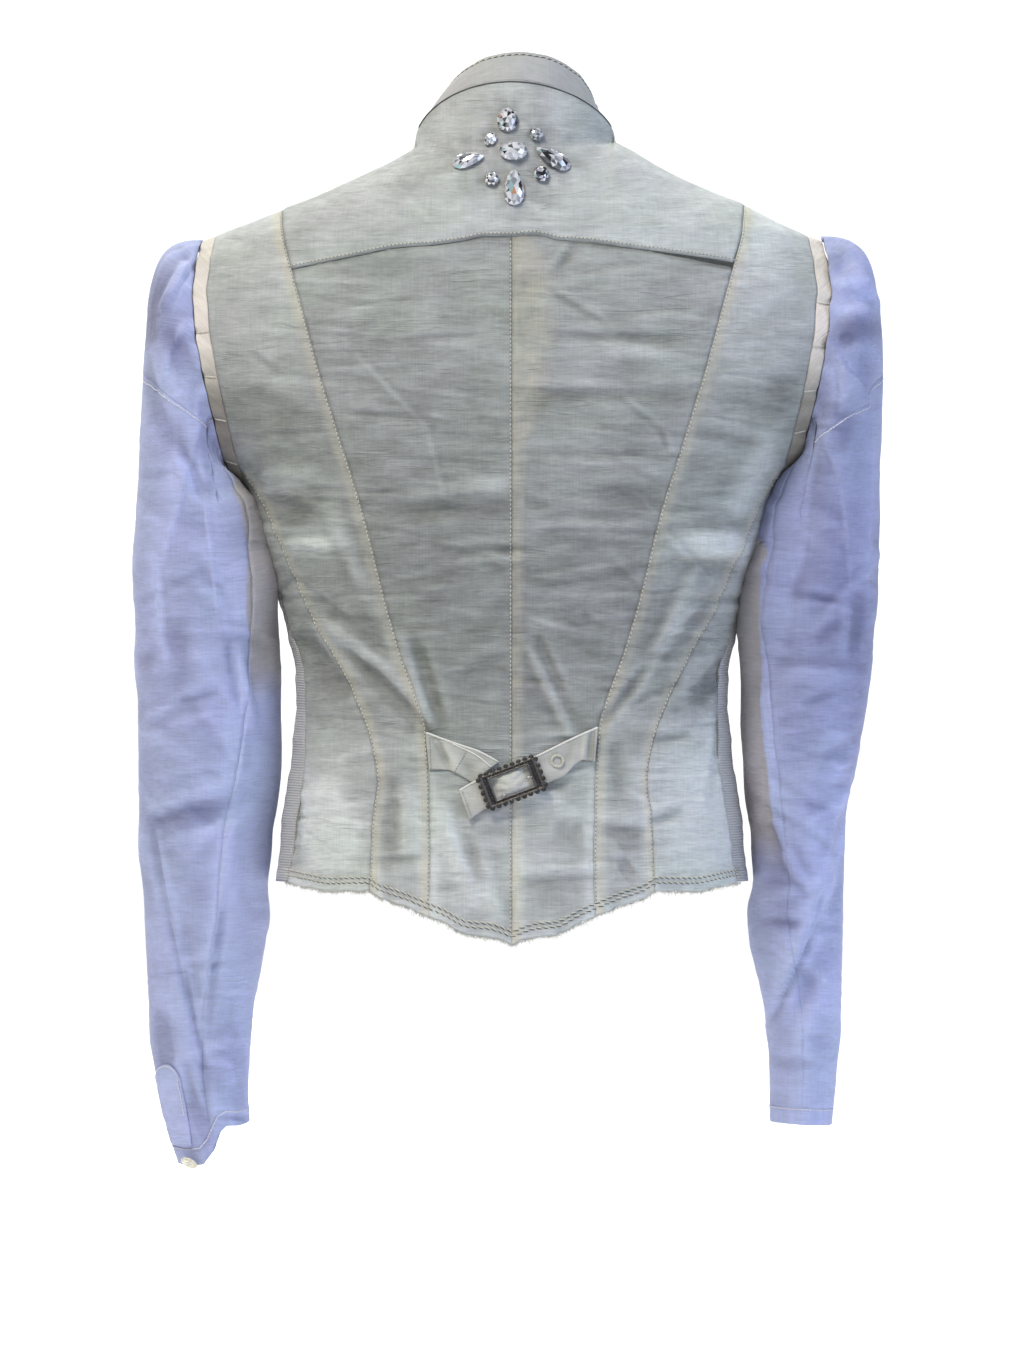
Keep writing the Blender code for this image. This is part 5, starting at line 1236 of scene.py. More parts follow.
CAP_COLUMNS, CAP_ROWS, UNDER_COLUMNS = 111, 45, 33
HEAD_ROWS, ARM_ROWS = 34, 160
sleeve_lines = {}
for hand, word in HANDS:
    last = 2 - CUFF_DEPTH / (HEAD_END - SLEEVE_OUTLINES[hand]["end"])
    cap = np.linspace(-CAP_REACH, CAP_REACH, CAP_COLUMNS)
    cap_run = cap_seam(hand, cap)
    sew_sleeve("shirt_sleeve_cap_" + word, hand, np.broadcast_to(cap, (CAP_ROWS, CAP_COLUMNS)),
               cap_run * np.linspace(0, 1, CAP_ROWS)[:, None], ["sleeve_cap_" + word])

    base = back_seam_angle(hand, np.zeros(1))[0]
    beyond = CAP_REACH + 0.004
    around = np.concatenate([np.linspace(SEAM_ANGLE_FRONT, -beyond, 4), cap,
                             np.linspace(beyond, base, 6)])
    share = (around - SEAM_ANGLE_FRONT) / (base - SEAM_ANGLE_FRONT)
    first = np.where(np.abs(around) < CAP_REACH + 0.002, cap_seam(hand, around), 0.0)
    runs = arm_runs(first, last, HEAD_ROWS, ARM_ROWS)
    seam_angle = back_seam_angle(hand, runs)
    arm_angle = SEAM_ANGLE_FRONT + (seam_angle - SEAM_ANGLE_FRONT) * share
    head_angle = around + (arm_angle - around) * runs ** 2
    angle = np.where(runs < 1, head_angle, arm_angle)
    sew_sleeve("shirt_sleeve_upper_" + word, hand, angle, runs, ["sleeve_upper_" + word])
    sleeve_lines[hand] = {"cap": (cap, cap_run), "last": last}

    share = np.linspace(0, 1, UNDER_COLUMNS)
    runs = arm_runs(np.zeros(UNDER_COLUMNS), last, HEAD_ROWS, ARM_ROWS)
    seam_angle = back_seam_angle(hand, runs)
    seam_angle = np.where(runs < 1, base + (seam_angle - base) * runs ** 2, seam_angle)
    angle = seam_angle + (SEAM_ANGLE_FRONT + 2 * math.pi - seam_angle) * share
    sew_sleeve("shirt_sleeve_under_" + word, hand, angle, runs, ["sleeve_under_" + word])

    around = circle(140)
    runs = np.linspace(last, 2, 7)[:, None] * np.ones(140)
    sew_sleeve("shirt_cuff_" + word, hand, np.broadcast_to(around, runs.shape), runs, ["cuff_" + word],
               0.45, closed=True, fold=0.8 * MM)

# %% The plackets, with their round tops
for hand, word in HANDS:
    middle, half = math.radians(41 * hand), math.radians(25)
    last = sleeve_lines[hand]["last"]
    end = SLEEVE_OUTLINES[hand]["end"]
    top = 1 + (-594 * MM - HEAD_END) / (end - HEAD_END)
    across = np.linspace(-1, 1, 29)
    round_top = top + 0.035 * (1 - np.sqrt(1 - 0.92 * across ** 2))
    runs = round_top + (last - 0.004 - round_top) * np.linspace(0, 1, 41)[:, None]
    angles = np.broadcast_to(middle + half * across, runs.shape)
    points = sleeve_point(hand, angles, runs)
    rim = np.broadcast_to(1 - np.abs(across), runs.shape)
    lift = (1.3 - 0.6 * np.exp(-rim / 0.05)) * MM + 0.35 * MM * wave(runs, 0.03, 101) * (1 - rim)
    relief = sleeve_relief(hand, angles, runs, points) + lift
    sew("shirt_placket_" + word, points, ["sleeve_placket_" + word], "sleeve_linen", relief,
        {"sheer": sleeve_pale(hand, points) + 0.2},
        centre=np.array([hand * 182 * MM, -27 * MM, end]), out=sleeve_out(hand, angles, runs),
        thickness=0.6)

    # Its stitches run up two columns from one edge, over the round top and down the other side
    turn, run = [np.concatenate([grid[24:0:-1, 2], grid[1, 2:27], grid[1:24, 26]])
                 for grid in (angles, runs)]
    spot, out = sleeve_point(hand, turn, run), sleeve_out(hand, turn, run)
    lifted = sleeve_relief(hand, turn, run, spot) + 1.5 * MM
    sleeve_lines[hand]["placket"] = spot + out * lifted[:, None], out

# %% [markdown]
# ## Thread, stitch by stitch
# Stitches read as thread only when each one is a separate small grain with its own light and
# shadow, so one shape with few faces is copied along every seam. A dark bead between two grains is
# painted shade: the shadow in the needle hole.

# %% Copies of a small shape
def grain(sides=5):
    """A thread's stitch: three rings of a spindle, pinched at both ends, of unit length."""
    turn = circle(sides)
    rings = [np.stack([np.full(sides, along), np.cos(turn) * wide, np.sin(turn) * wide], axis=-1)
             for along, wide in ((-0.34, 0.42), (0.0, 0.5), (0.34, 0.42))]
    points = np.concatenate([[[-0.5, 0, 0]], *rings, [[0.5, 0, 0]]])
    faces = []
    for side in range(sides):
        after = (side + 1) % sides
        faces.append((0, 1 + after, 1 + side))
        for ring in (0, 1):
            low, high = 1 + ring * sides, 1 + (ring + 1) * sides
            faces.append((low + side, low + after, high + after, high + side))
        faces.append((1 + 2 * sides + side, 1 + 2 * sides + after, len(points) - 1))
    return points, faces


def scatter(name, shape, places, along, out, sizes, material, slot):
    """Copies a shape to many places: its x along the seam, its z out of the cloth, sizes in mm."""
    template, faces = shape
    along = unit(along)
    side = unit(np.cross(out, along))
    along, side, up = (np.broadcast_to(axis, places.shape)[:, None]
                       for axis in (along, side, np.cross(along, side)))
    local = template * np.broadcast_to(np.asarray(sizes) * MM, places.shape)[:, None]
    points = places[:, None] + local[..., :1] * along + local[..., 1:2] * side + local[..., 2:] * up
    every = [tuple(corner + copy * len(template) for corner in face)
             for copy in range(len(places)) for face in faces]
    mesh = bpy.data.meshes.new(name)
    mesh.from_pydata(points.reshape(-1, 3).tolist(), [], every)
    mesh.polygons.foreach_set("use_smooth", np.ones(len(every), bool))
    print(f"{name}: {len(places)} copies")
    return place(name, mesh, material, slot)


def between(at, keys, values):
    """Vectors read at new places between their keys."""
    return np.stack([np.interp(at, keys, values[:, axis]) for axis in range(3)], axis=-1)


def stitched(line, out, pitch, start=0.5):
    """Even places along a line on the cloth, and there the line's way and the cloth's normal."""
    length = run_along(line)
    at = np.arange(start * pitch, length[-1], pitch)
    way = between(at + 0.3 * MM, length, line) - between(at - 0.3 * MM, length, line)
    normal = between(at / length[-1], np.linspace(0, 1, len(out)), out)
    return between(at, length, line), unit(way), normal


def joined(parts):
    """Rows of (places, ways, normals), joined into one of each."""
    return [np.concatenate(column) for column in zip(*parts)]


def turned(out, angle=0.0):
    """Two axes across a normal: the level one turned by an angle, and the one square to it."""
    level = unit(np.cross([0, 0, 1], out))
    along = math.cos(angle) * level + math.sin(angle) * np.cross(out, level)
    return along, np.cross(out, along)


def tube(name, line, radius, material, slot, sides=8):
    """A round cord along a line: circles in the plane across its direction, closed at the ends."""
    way = unit(np.gradient(line, axis=0))
    side = unit(np.cross(way, [0, 1, 0.1]))
    up = np.cross(side, way)
    turn = circle(sides)[None, :, None]
    size = np.full(len(line), radius)
    size[0] = size[-1] = radius * 0.05
    round_way = np.cos(turn) * side[:, None] + np.sin(turn) * up[:, None]
    ring = line[:, None] + size[:, None, None] * round_way
    place(name, grid_mesh(name, ring, True), material, slot)


# %% Thread materials
def thread(name, colour, dark):
    """Spun cotton sewing thread: matt, with a fine twist drawn as noise."""
    material, tree = fresh(name, Roughness=0.7, Sheen_Weight=0.3)
    dress(tree, Base_Color=tinted(tree, dark, colour, cloud(tree, 900.0, 1.0)))
    return material


piping_cotton = thread("bleached_cotton_piping", "#f6f6f0", "#d8d8d2")
cream_thread = thread("cream_sewing_thread", "#ebe9dc", "#a9a89a")
white_thread = thread("white_sewing_thread", "#f0f0f6", "#b7bad0")
# A dark thread colour used as painted shade: in needle holes, along the strap's stitch lines and in the
# buttons' holes
painted_hole_shadow = thread("shadow_in_needle_holes", "#8a8c86", "#6c6f69")
deep_shadow = thread("shadow_in_the_collar_seam", "#5d605b", "#3d403b")


# %% Seam stitching on the vest
def on_cloth(x, z, lift):
    """A point on the finished cloth of the back, lifted by some millimetres, and its normal."""
    out = body_out(x, z, 1)
    return on_body(x, z, 1) + out * (back_relief(x, z) + lift * MM)[..., None], out


def seam_line(width, hand, top, bottom, shift):
    """A line down the back beside a seam."""
    z = np.linspace(top, bottom, 400) * MM
    return hand * (width(z) + shift * MM), z


x = np.linspace(137, -136, 400) * MM
stitch_lines = [(*seam_line(centre, 1, -98, -519, 0.9), 2.7)]
for hand in (1, -1):
    stitch_lines.append((*seam_line(inner_seam, hand, -80, -498, 0.9), 2.7))
    stitch_lines.append((*seam_line(low_outer_seam, hand, -240, -486, -0.8), 2.7))
stitch_lines.append((x, curve(YOKE_EDGE, x) + 1.7 * MM, 2.4))
stitches, holes = [], []
for x, z, pitch in stitch_lines:
    line, out = on_cloth(x, z, 0.12)
    stitches.append(stitched(line, out, pitch * MM))
    hole, way, normal = stitched(line, out, pitch * MM, 1.0)
    holes.append((hole - normal * 0.1 * MM, way, normal))
scatter("stitches_of_the_back", grain(), *joined(stitches), (1.9, 0.9, 0.6), cream_thread,
        "vest_linen")
# Dark beads: painted shade in the needle holes
scatter("needle_holes_of_the_back", grain(), *joined(holes), (0.85, 0.8, 0.4), painted_hole_shadow,
        "vest_linen")

# %% [markdown]
# ## The hem
# The hem is left raw. A twisted stitch runs about 7 mm above it: two rows of long slanted grains,
# each with its shadow. Loose threads hang from the edge, each a thin spindle of 2 or 3 mm.

# %% Hem stitching and frayed threads
x = np.linspace(139, -139, 500) * MM
z = curve(HEM, np.abs(x)) + 8.2 * MM
for strand, drop in (("upper", 0.0), ("lower", 2.9)):
    line, out = on_cloth(x, z - drop * MM, 0.35)
    here, way, normal = stitched(line, out, 4.1 * MM, 0.5 + 0.17 * drop)
    down = np.cross(way, normal)
    slant = way + 0.30 * down
    scatter("hem_stitches_" + strand, grain(6), here, slant, normal, (4.0, 0.95, 0.9),
            cream_thread, "vest_linen")
    scatter("hem_stitch_shadow_" + strand, grain(), here + (down * 0.75 - normal * 0.3) * MM, slant,
            normal, (3.4, 0.5, 0.35), deep_shadow, "vest_linen")

FRAYED_THREADS = 2600
draw = np.random.default_rng(5)
x = draw.uniform(-139, 139, FRAYED_THREADS) * MM
z = back_hem(x, 0)
out = body_out(x, z, 1)
root = on_body(x, z, 1) + out * (back_relief(x, z) - 0.4 * MM)[:, None]
length = draw.gamma(2.0, 0.55, FRAYED_THREADS)
way = unit(np.stack([draw.normal(0, 0.6, FRAYED_THREADS), draw.normal(0, 0.25, FRAYED_THREADS),
                     -np.ones(FRAYED_THREADS)], axis=-1))
thin = np.full(FRAYED_THREADS, 0.22)
scatter("frayed_hem_threads", grain(3), root + way * (0.4 * length * MM)[:, None], way, out,
        np.stack([length + 1.2, thin, thin], axis=-1), cream_thread, "vest_linen")

# %% Collar, cap and cuff stitching
line = collar_face[COLLAR_STITCH_ROW]
out = out_of(collar_grid, False, collar_middle)[COLLAR_STITCH_ROW]
tube("collar_stitch_shadow", line, 0.45 * MM, deep_shadow, "collar_linen")
here, way, normal = stitched(line + out * 0.25 * MM, out, 4.2 * MM)
scatter("collar_running_stitch", grain(6), here, way - 0.25 * np.cross(way, normal), normal,
        (3.2, 0.75, 0.8), cream_thread, "collar_linen")

x = np.linspace(56, -56, 260) * MM
line, out = on_cloth(x, top_edge(x, 1) - 0.9 * MM, 0.1)
tube("collar_seam_shadow", line, 0.5 * MM, deep_shadow, "vest_linen")
below = line - out * 0.1 * MM - np.array([0, 0, 1.3 * MM])
scatter("collar_seam_stitches", grain(), *stitched(below, out, 2.6 * MM), (1.6, 0.7, 0.5),
        cream_thread, "vest_linen")

SLEEVE_STITCH = 2.3 * MM
stitches = []
for hand, word in HANDS:
    cap, cap_run = sleeve_lines[hand]["cap"]
    around = np.linspace(0, 2 * math.pi, 300)
    last = np.full(300, sleeve_lines[hand]["last"] + 0.002)
    for angle, run in ((cap, cap_run + 0.012), (around, last)):
        points, out = sleeve_point(hand, angle, run), sleeve_out(hand, angle, run)
        line = points + out * (sleeve_relief(hand, angle, run, points) + 0.15 * MM)[:, None]
        stitches.append(stitched(line, out, SLEEVE_STITCH))
    stitches.append(stitched(*sleeve_lines[hand]["placket"], SLEEVE_STITCH))
scatter("stitches_of_the_sleeves", grain(), *joined(stitches), (2.5, 0.9, 0.6), white_thread,
        "sleeve_linen")

# %% Bar tacks across the bindings
tacks = []
for hand, heights in TACKS.items():
    face = binding_faces[hand]
    normals = out_of(face, True, [hand * 0.2, 0, ARMHOLE_MIDDLE])[BINDING_ROWS // 2]
    level, in_front = armhole(BINDING_TURNS)[:, 2], np.sin(BINDING_TURNS) < 0
    for height in heights:
        column = np.argmin(np.abs(level - height * MM) + in_front)
        tacks.append((face[:, column].mean(axis=0) + normals[column] * 0.3 * MM,
                      face[-1, column] - face[0, column], normals[column]))
scatter("binding_bar_tacks", grain(6), *np.array(tacks).swapaxes(0, 1), (9.5, 1.1, 1.0),
        cream_thread, "binding_linen")

# %% [markdown]
# ## The waist strap
# The strap is soft washed linen, about 20 mm wide, sewn into the princess seams. Its right half goes
# through the buckle and out on the other side, so it is bunched in the window and swells there.

# %% Strap halves
BUCKLE_CENTRE = np.array([0.0, -427 * MM])
BUCKLE_TILT = math.radians(21)
STRAP_LEFT = {"upper": ((52, -396), (36, -402), (20, -407.5), (8, -414)),
              "lower": ((50, -418.5), (40, -418.5), (31, -422), (24, -426.5))}
STRAP_RIGHT = {"upper": ((-51.5, -393), (-36, -400), (-15, -410.5), (3, -419.5), (20, -425),
                         (31.7, -431.3)),
               "lower": ((-49.5, -414), (-43, -412.8), (-38, -415.5), (-31.5, -422), (-22, -426.5),
                         (-4, -434.5), (16, -442.5), (25.6, -449))}
STRAP_FOLDS = ((47, -397, 38, -417, 2.6, 1.6), (43, -400, 33, -418, 2.4, -0.9),
               (-48, -394, -46, -414, 1.6, 1.3), (-44, -397, -42, -412, 1.8, -0.8),
               (30, -408, 24, -424, 3, 0.8), (-36, -404, -30, -420, 2.2, 0.6),
               (-14, -414, -18, -428, 2.4, 0.8), (24, -434, 28, -444, 2.0, 0.4))
WINDOW_FOLDS = ((11, -425, 2, -430, 1.5, 1.3), (10, -433, 0, -432, 1.3, 1.0),
                (-9, -418, -1, -427, 1.4, 1.2), (-11, -424, -3, -431, 1.2, 1.0),
                (5, -436, -3, -434, 1.2, 0.9), (2, -419, 1, -426, 1.3, 0.7))


def strap_places(outline, columns, rows):
    """Places between the strap's two edges, each a smooth curve through its points."""
    share = np.linspace(0, 1, columns + 1)
    edges = []
    for name in ("upper", "lower"):
        points = np.array(outline[name], float)
        keys = np.linspace(0, 1, len(points)) / MM
        edges.append(np.stack([curve(list(zip(keys, points[:, axis])), share) for axis in (0, 1)],
                              axis=-1))
    across = np.linspace(0, 1, rows + 1)[:, None, None]
    flat = edges[0] + (edges[1] - edges[0]) * across
    return flat[..., 0], flat[..., 1], across[..., 0], share


def in_buckle(x, z):
    """Along and across the buckle, from its centre, in metres."""
    away = np.stack([-(x - BUCKLE_CENTRE[0]), z - BUCKLE_CENTRE[1]], axis=-1)
    turn = np.array([math.cos(BUCKLE_TILT), math.sin(BUCKLE_TILT)])
    return away @ turn, away @ np.array([-turn[1], turn[0]])


strap_edges = {}
for word, outline, lift, columns in (("left", STRAP_LEFT, 1.5, 60), ("right", STRAP_RIGHT, 3.0, 110)):
    x, z, across, share = strap_places(outline, columns, 26)
    along, up = in_buckle(x, z)
    window = np.exp(-(along / (10 * MM)) ** 4)
    bunched = window * (5.6 * np.exp(-(up / (6.8 * MM)) ** 4 - (along / (10 * MM)) ** 4) - 1.0) * MM
    bunched -= window * pressed(x, z, WINDOW_FOLDS)
    soft = ripple(share * 60 * MM, (across - 0.5) * 18 * MM, 110, 0.7, 8, 24)
    soft -= pressed(x, z, STRAP_FOLDS)
    edge = np.minimum(across, 1 - across) * 18
    lifted = lift * MM + (bunched if word == "right" else 0) + soft - 0.4 * MM * np.exp(-edge / 0.5)
    shade = np.clip((soft + (1.3 * bunched if word == "right" else 0)) / (3 * MM), -0.3, 0.9)
    out = body_out(x, z, 1)
    pale = 0.72 + 0.12 * wave(share + 0.3 * across, 0.5, 111) + shade
    sew("linen_strap_" + word, on_body(x, z, 1), ["strap_" + word], "strap_linen", lifted,
        {"sheer": pale}, out=out)
    strap_edges[word] = on_body(x, z, 1) + out * lifted[..., None], out


# %% Piping along the strap's upper edge, and its stitch lines
for word in ("left", "right"):
    surface, out = strap_edges[word]
    tube("strap_piping_" + word, surface[0] + out[0] * 0.35 * MM, 0.6 * MM, piping_cotton,
         "strap_linen")
surface, out = strap_edges["left"]
share = np.linspace(0, 1, 41)[:, None]
second = surface[1, 20:] + (surface[7, 20:] - surface[1, 20:]) * share
tube("strap_second_piping", second + out[1, 20:] * 0.3 * MM, 0.4 * MM, piping_cotton, "strap_linen")
stitches = []
for word, column in (("left", 32), ("left", 3), ("right", -4), ("right", 3)):
    surface, out = strap_edges[word]
    line = surface[2:26, column] + out[2:26, column] * 0.15 * MM
    stitches.append(stitched(line, out[[13, 13], column], 1.8 * MM))
# The strap's stitch lines are drawn in the dark shadow colour: painted shade along them
scatter("strap_stitches", grain(), *joined(stitches), (1.4, 0.45, 0.35), painted_hole_shadow, "strap_linen")

# %% The stitched eyelet
EYELET = np.array([-27 * MM, -413.5 * MM])
turn = circle(40)[:, None]
out = body_out(*EYELET, 1)
level, up = turned(out)
radial = np.cos(turn) * level + np.sin(turn) * up
eyelet_ring = scatter("stitched_eyelet", grain(), on_body(*EYELET, 1) + (out + radial) * 3.5 * MM,
                      radial, out, (1.8, 0.75, 0.9), cream_thread, "strap_linen")
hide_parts("strap_eyelet")

# %% [markdown]
# ## Antique pewter
# The buckle is cast pewter, darkened in the hollows and rubbed bright on the high spots. Its frame
# has a scalloped rim, a sunk channel with a row of beads, and a plain inner lip.

# %% Pewter and silver
def old_metal(name, bright, dark, rough):
    """Cast metal: dark where noise and hollows keep the patina, bright where it is rubbed."""
    material, tree = fresh(name, Metallic=1.0)
    grime = cloud(tree, 420.0, 4.0)
    high = add(tree, "Attribute", {"attribute_name": "rubbed"}).outputs["Fac"]
    worn = calc(tree, "MULTIPLY_ADD", grime, 0.7, high, clamp=True)
    dull = remap(tree, worn, 0.0, 1.0, rough + 0.2, rough)
    pits = add(tree, "Bump", None, {"Strength": 0.3, "Distance": 0.1 * MM}, {"Height": grime})
    dress(tree, Base_Color=tinted(tree, dark, bright, worn), Roughness=dull, Normal=pits)
    return material


pewter = old_metal("antique_cast_pewter", "#7b7875", "#161515", 0.38)
silver = old_metal("rubbed_silver_prong", "#d9d8d4", "#8b8984", 0.22)

# %% The buckle's frame
BUCKLE_SIZE = np.array([37.5, 21.5]) * MM
BUCKLE_WINDOW = np.array([24.2, 14.2]) * MM
SCALLOPS = (9, 5)
RING_STEPS = 72
CORNERS = np.array([(-1, -1), (1, -1), (1, 1), (-1, 1)])
BUCKLE_OUT = body_out(*BUCKLE_CENTRE, 1)
BUCKLE_ALONG, BUCKLE_ACROSS = turned(BUCKLE_OUT, BUCKLE_TILT)
BUCKLE_FOOT = on_body(*BUCKLE_CENTRE, 1) + BUCKLE_OUT * 4.0 * MM


def on_buckle(flat, height):
    """Places on the buckle: along and across it from its middle, and some millimetres out."""
    return (BUCKLE_FOOT + flat[:, :1] * BUCKLE_ALONG + flat[:, 1:] * BUCKLE_ACROSS
            + BUCKLE_OUT * height * MM)


def rectangle_ring(size, steps):
    """Points round a rectangle from a corner, side by side, with how far along its side each is."""
    corners = CORNERS * np.asarray(size) / 2
    part = np.linspace(0, 1, steps, endpoint=False)[:, None]
    sides = [corners[n] + (corners[(n + 1) % 4] - corners[n]) * part for n in range(4)]
    return np.concatenate(sides), np.tile(part[:, 0], 4), np.repeat(np.arange(4), steps)


inner_ring = rectangle_ring(BUCKLE_WINDOW, RING_STEPS)[0]
outer_ring, part, side = rectangle_ring(BUCKLE_SIZE - 1.8 * MM, RING_STEPS)
outward = np.array([(0, -1), (1, 0), (0, 1), (-1, 0)])[side]
bulge = np.abs(np.sin(math.pi * part * np.array(SCALLOPS)[side % 2])) ** 0.6 * 0.9 * MM
FRAME_PROFILE = (  # share of the way from window to rim, height in mm, how much it bulges, rubbed
    (0.0, 0.2, 0, 0.1), (0.0, 1.9, 0, 0.3), (0.04, 2.3, 0, 0.7), (0.14, 2.4, 0, 0.8),
    (0.2, 2.2, 0, 0.2), (0.26, 1.6, 0, 0.0), (0.62, 1.6, 0, 0.0), (0.7, 2.1, 0, 0.2),
    (0.78, 2.35, 0.1, 0.7), (0.88, 2.2, 0.3, 0.5), (0.97, 1.9, 0.9, 0.3), (1.0, 1.3, 1.0, 0.1),
    (0.97, 0.5, 0.9, 0.0), (0.8, 0.2, 0.4, 0.0),
)
rings, rubbed = [], []
for way, height, swell, shine in FRAME_PROFILE:
    flat = inner_ring + (outer_ring - inner_ring) * way + outward * (bulge * swell)[:, None]
    rings.append(on_buckle(flat, height))
    rubbed.append(np.full(len(flat), shine))
rings, rubbed = np.array(rings + rings[:1]), np.array(rubbed + rubbed[:1])
mesh = grid_mesh("buckle", rings[::-1], True, None, {"rubbed": rubbed[::-1]})
place("pewter_buckle", mesh, pewter, "pewter", ["buckle_frame"])

# %% Beads in the buckle's channel, and the two prong tips
def bead(sides=6):
    """Half a ball of unit size: a ring, a smaller ring and a tip."""
    turn = circle(sides)
    low = np.stack([np.cos(turn) / 2, np.sin(turn) / 2, np.zeros(sides)], axis=-1)
    high = np.stack([np.cos(turn) * 0.36, np.sin(turn) * 0.36, np.full(sides, 0.36)], axis=-1)
    points = np.concatenate([low, high, [[0, 0, 0.5]], [[0, 0, -0.05]]])
    faces = []
    for n in range(sides):
        after = (n + 1) % sides
        faces += [(n, after, sides + after, sides + n), (sides + n, sides + after, 2 * sides),
                  (after, n, 2 * sides + 1)]
    return points, faces


flat = rectangle_ring(BUCKLE_WINDOW + (BUCKLE_SIZE - BUCKLE_WINDOW) * 0.42, 200)[0]
length = np.linalg.norm(np.diff(flat, axis=0, append=flat[:1]), axis=-1)
total = np.cumsum(length) - length[0]
picks = np.searchsorted(total, np.arange(0, total[-1], 1.75 * MM))
scatter("buckle_beads", bead(8), on_buckle(flat[picks], 1.55), BUCKLE_ALONG, BUCKLE_OUT,
        (1.35, 1.35, 1.6), old_metal("beads_of_pewter", "#8f8c88", "#2c2a29", 0.3), "pewter")
centres = []
for number in range(4):
    count = SCALLOPS[number % 2]
    start, stop = CORNERS[[number, (number + 1) % 4]] * (BUCKLE_SIZE - 0.6 * MM) / 2
    centres.append(start + (stop - start) * (np.arange(count)[:, None] + 0.5) / count)
scatter("buckle_scallop_beads", bead(10), on_buckle(np.concatenate(centres), 1.5), BUCKLE_ALONG,
        BUCKLE_OUT, (3.2, 3.2, 2.2), pewter, "pewter")
tips = on_buckle(np.array([(10.6, -1.0), (-7.6, -6.0)]) * MM, 3.3)
prong = scatter("buckle_prong_tips", grain(8), tips,
                BUCKLE_ALONG + np.array([[0.0], [0.5]]) * BUCKLE_ACROSS, BUCKLE_OUT,
                (4.4, 1.7, 1.5), silver, "pewter")
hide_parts("buckle_prong")

# %% [markdown]
# ## The crystals
# They are flat-backed stones of cut glass with a foil behind, so each facet mirrors one part of the
# room: some are white, some nearly black, a few show a hint of colour. That look is painted: each
# facet gets its own painted reflection, a tone from a fixed draw, under a clear coat that adds the
# real reflections.

# %% Cut glass
crystal_glass, tree = fresh("foiled_cut_crystal", Roughness=0.04, Coat_Weight=1.0,
                            Coat_Roughness=0.02, Metallic=0.35)
# The base colour is each facet's painted reflection
dress(tree, Base_Color=add(tree, "Attribute", {"attribute_name": "painted_reflection"}).outputs["Color"])
PAINTED_REFLECTION_TONES = ("#fbfcff", "#e6eaef", "#c3c8d0", "#9aa0a8", "#62676e", "#25282d", "#a5cfd0",
               "#c3bfda", "#d9a27a")
PAINTED_REFLECTION_ODDS = {"pale": (0.26, 0.22, 0.19, 0.14, 0.08, 0.05, 0.03, 0.02, 0.01),
              "mixed": (0.22, 0.19, 0.16, 0.13, 0.11, 0.09, 0.06, 0.03, 0.01),
              "dark": (0.14, 0.12, 0.14, 0.16, 0.20, 0.18, 0.02, 0.03, 0.01)}


def cut_stone(name, row, seed):
    """Rings of facets, each turned half a step against the last: girdle, crown, star and table."""
    size = dict(zip(CRYSTAL_COLUMNS, row))
    count = 9 if size["length"] < 12 else 14
    levels = ((0.0, 0.86, 0), (0.26, 1.0, 0), (0.70, 0.80, 0.5), (1.0, 0.48, 0))
    rings = []
    for height, scale, half in levels:
        turn = (np.arange(count) + half) * 2 * math.pi / count
        taper = (1 - size["point"] * np.cos(turn)) / (1 - 0.1 * size["point"])
        rings.append(np.stack([size["length"] / 2 * np.cos(turn) * scale,
                               size["width"] / 2 * np.sin(turn) * taper * scale,
                               np.full(count, height * size["height"])], axis=-1) * MM)
    rings.append(np.array([[0, 0, size["height"] + 0.15]]) * MM)
    faces = []
    for level in range(len(levels) - 1):
        low, high = level * count, (level + 1) * count
        here, above = levels[level][2], levels[level + 1][2]
        for n in range(count):
            after = (n + 1) % count
            if here == above:
                faces.append((low + n, low + after, high + after, high + n))
            elif above < here:
                faces.append((low + n, low + after, high + after))
                faces.append((low + n, high + after, high + n))
            else:
                faces.append((low + n, low + after, high + n))
                faces.append((low + after, high + after, high + n))
    top = (len(levels) - 1) * count
    faces.append(tuple(range(count - 1, -1, -1)))
    faces += [(top + n, top + (n + 1) % count, len(levels) * count) for n in range(count)]
    spot = size["across"] * MM, size["up"] * MM, 1
    out = body_out(*spot)
    along, across = turned(out, math.radians(size["turn"]))
    local = np.concatenate(rings)
    foot = on_body(*spot) + out * 0.4 * MM
    points = foot + local[:, :1] * along + local[:, 1:2] * across + local[:, 2:] * out
    mesh = bpy.data.meshes.new(name)
    mesh.from_pydata(points.tolist(), [], faces)
    draw = np.random.default_rng(seed)
    # The lower stones and the right drop get darker painted reflections
    odds = PAINTED_REFLECTION_ODDS["dark" if "lower" in name or name.endswith("drop_right") else
                      "mixed" if name.endswith(("drop_left", "oval_top")) else "pale"]
    tones = np.array([linear(code) for code in PAINTED_REFLECTION_TONES])[draw.choice(9, len(faces), p=odds)]
    # The girdle is painted dark as shade, and the table's facets are alike two by two
    tones[:count] *= 0.15
    tones[-count:-1:2] = tones[-count + 1::2]
    attribute = mesh.color_attributes.new("painted_reflection", "FLOAT_COLOR", "CORNER")
    sides = np.array([len(face) for face in faces])
    attribute.data.foreach_set("color", np.repeat(tones, sides, axis=0).astype(np.float32).ravel())
    return place(name, mesh, crystal_glass, "crystal", [name.replace("cut_", "")])


for seed, (name, row) in enumerate(CRYSTALS.items()):
    cut_stone("cut_" + name, row, 200 + seed)

# %% [markdown]
# ## Pearl buttons
# Shell buttons are turned on a lathe: a thin disc with a raised rim, a dished face and four holes.
# The outline of half a section is turned once round.

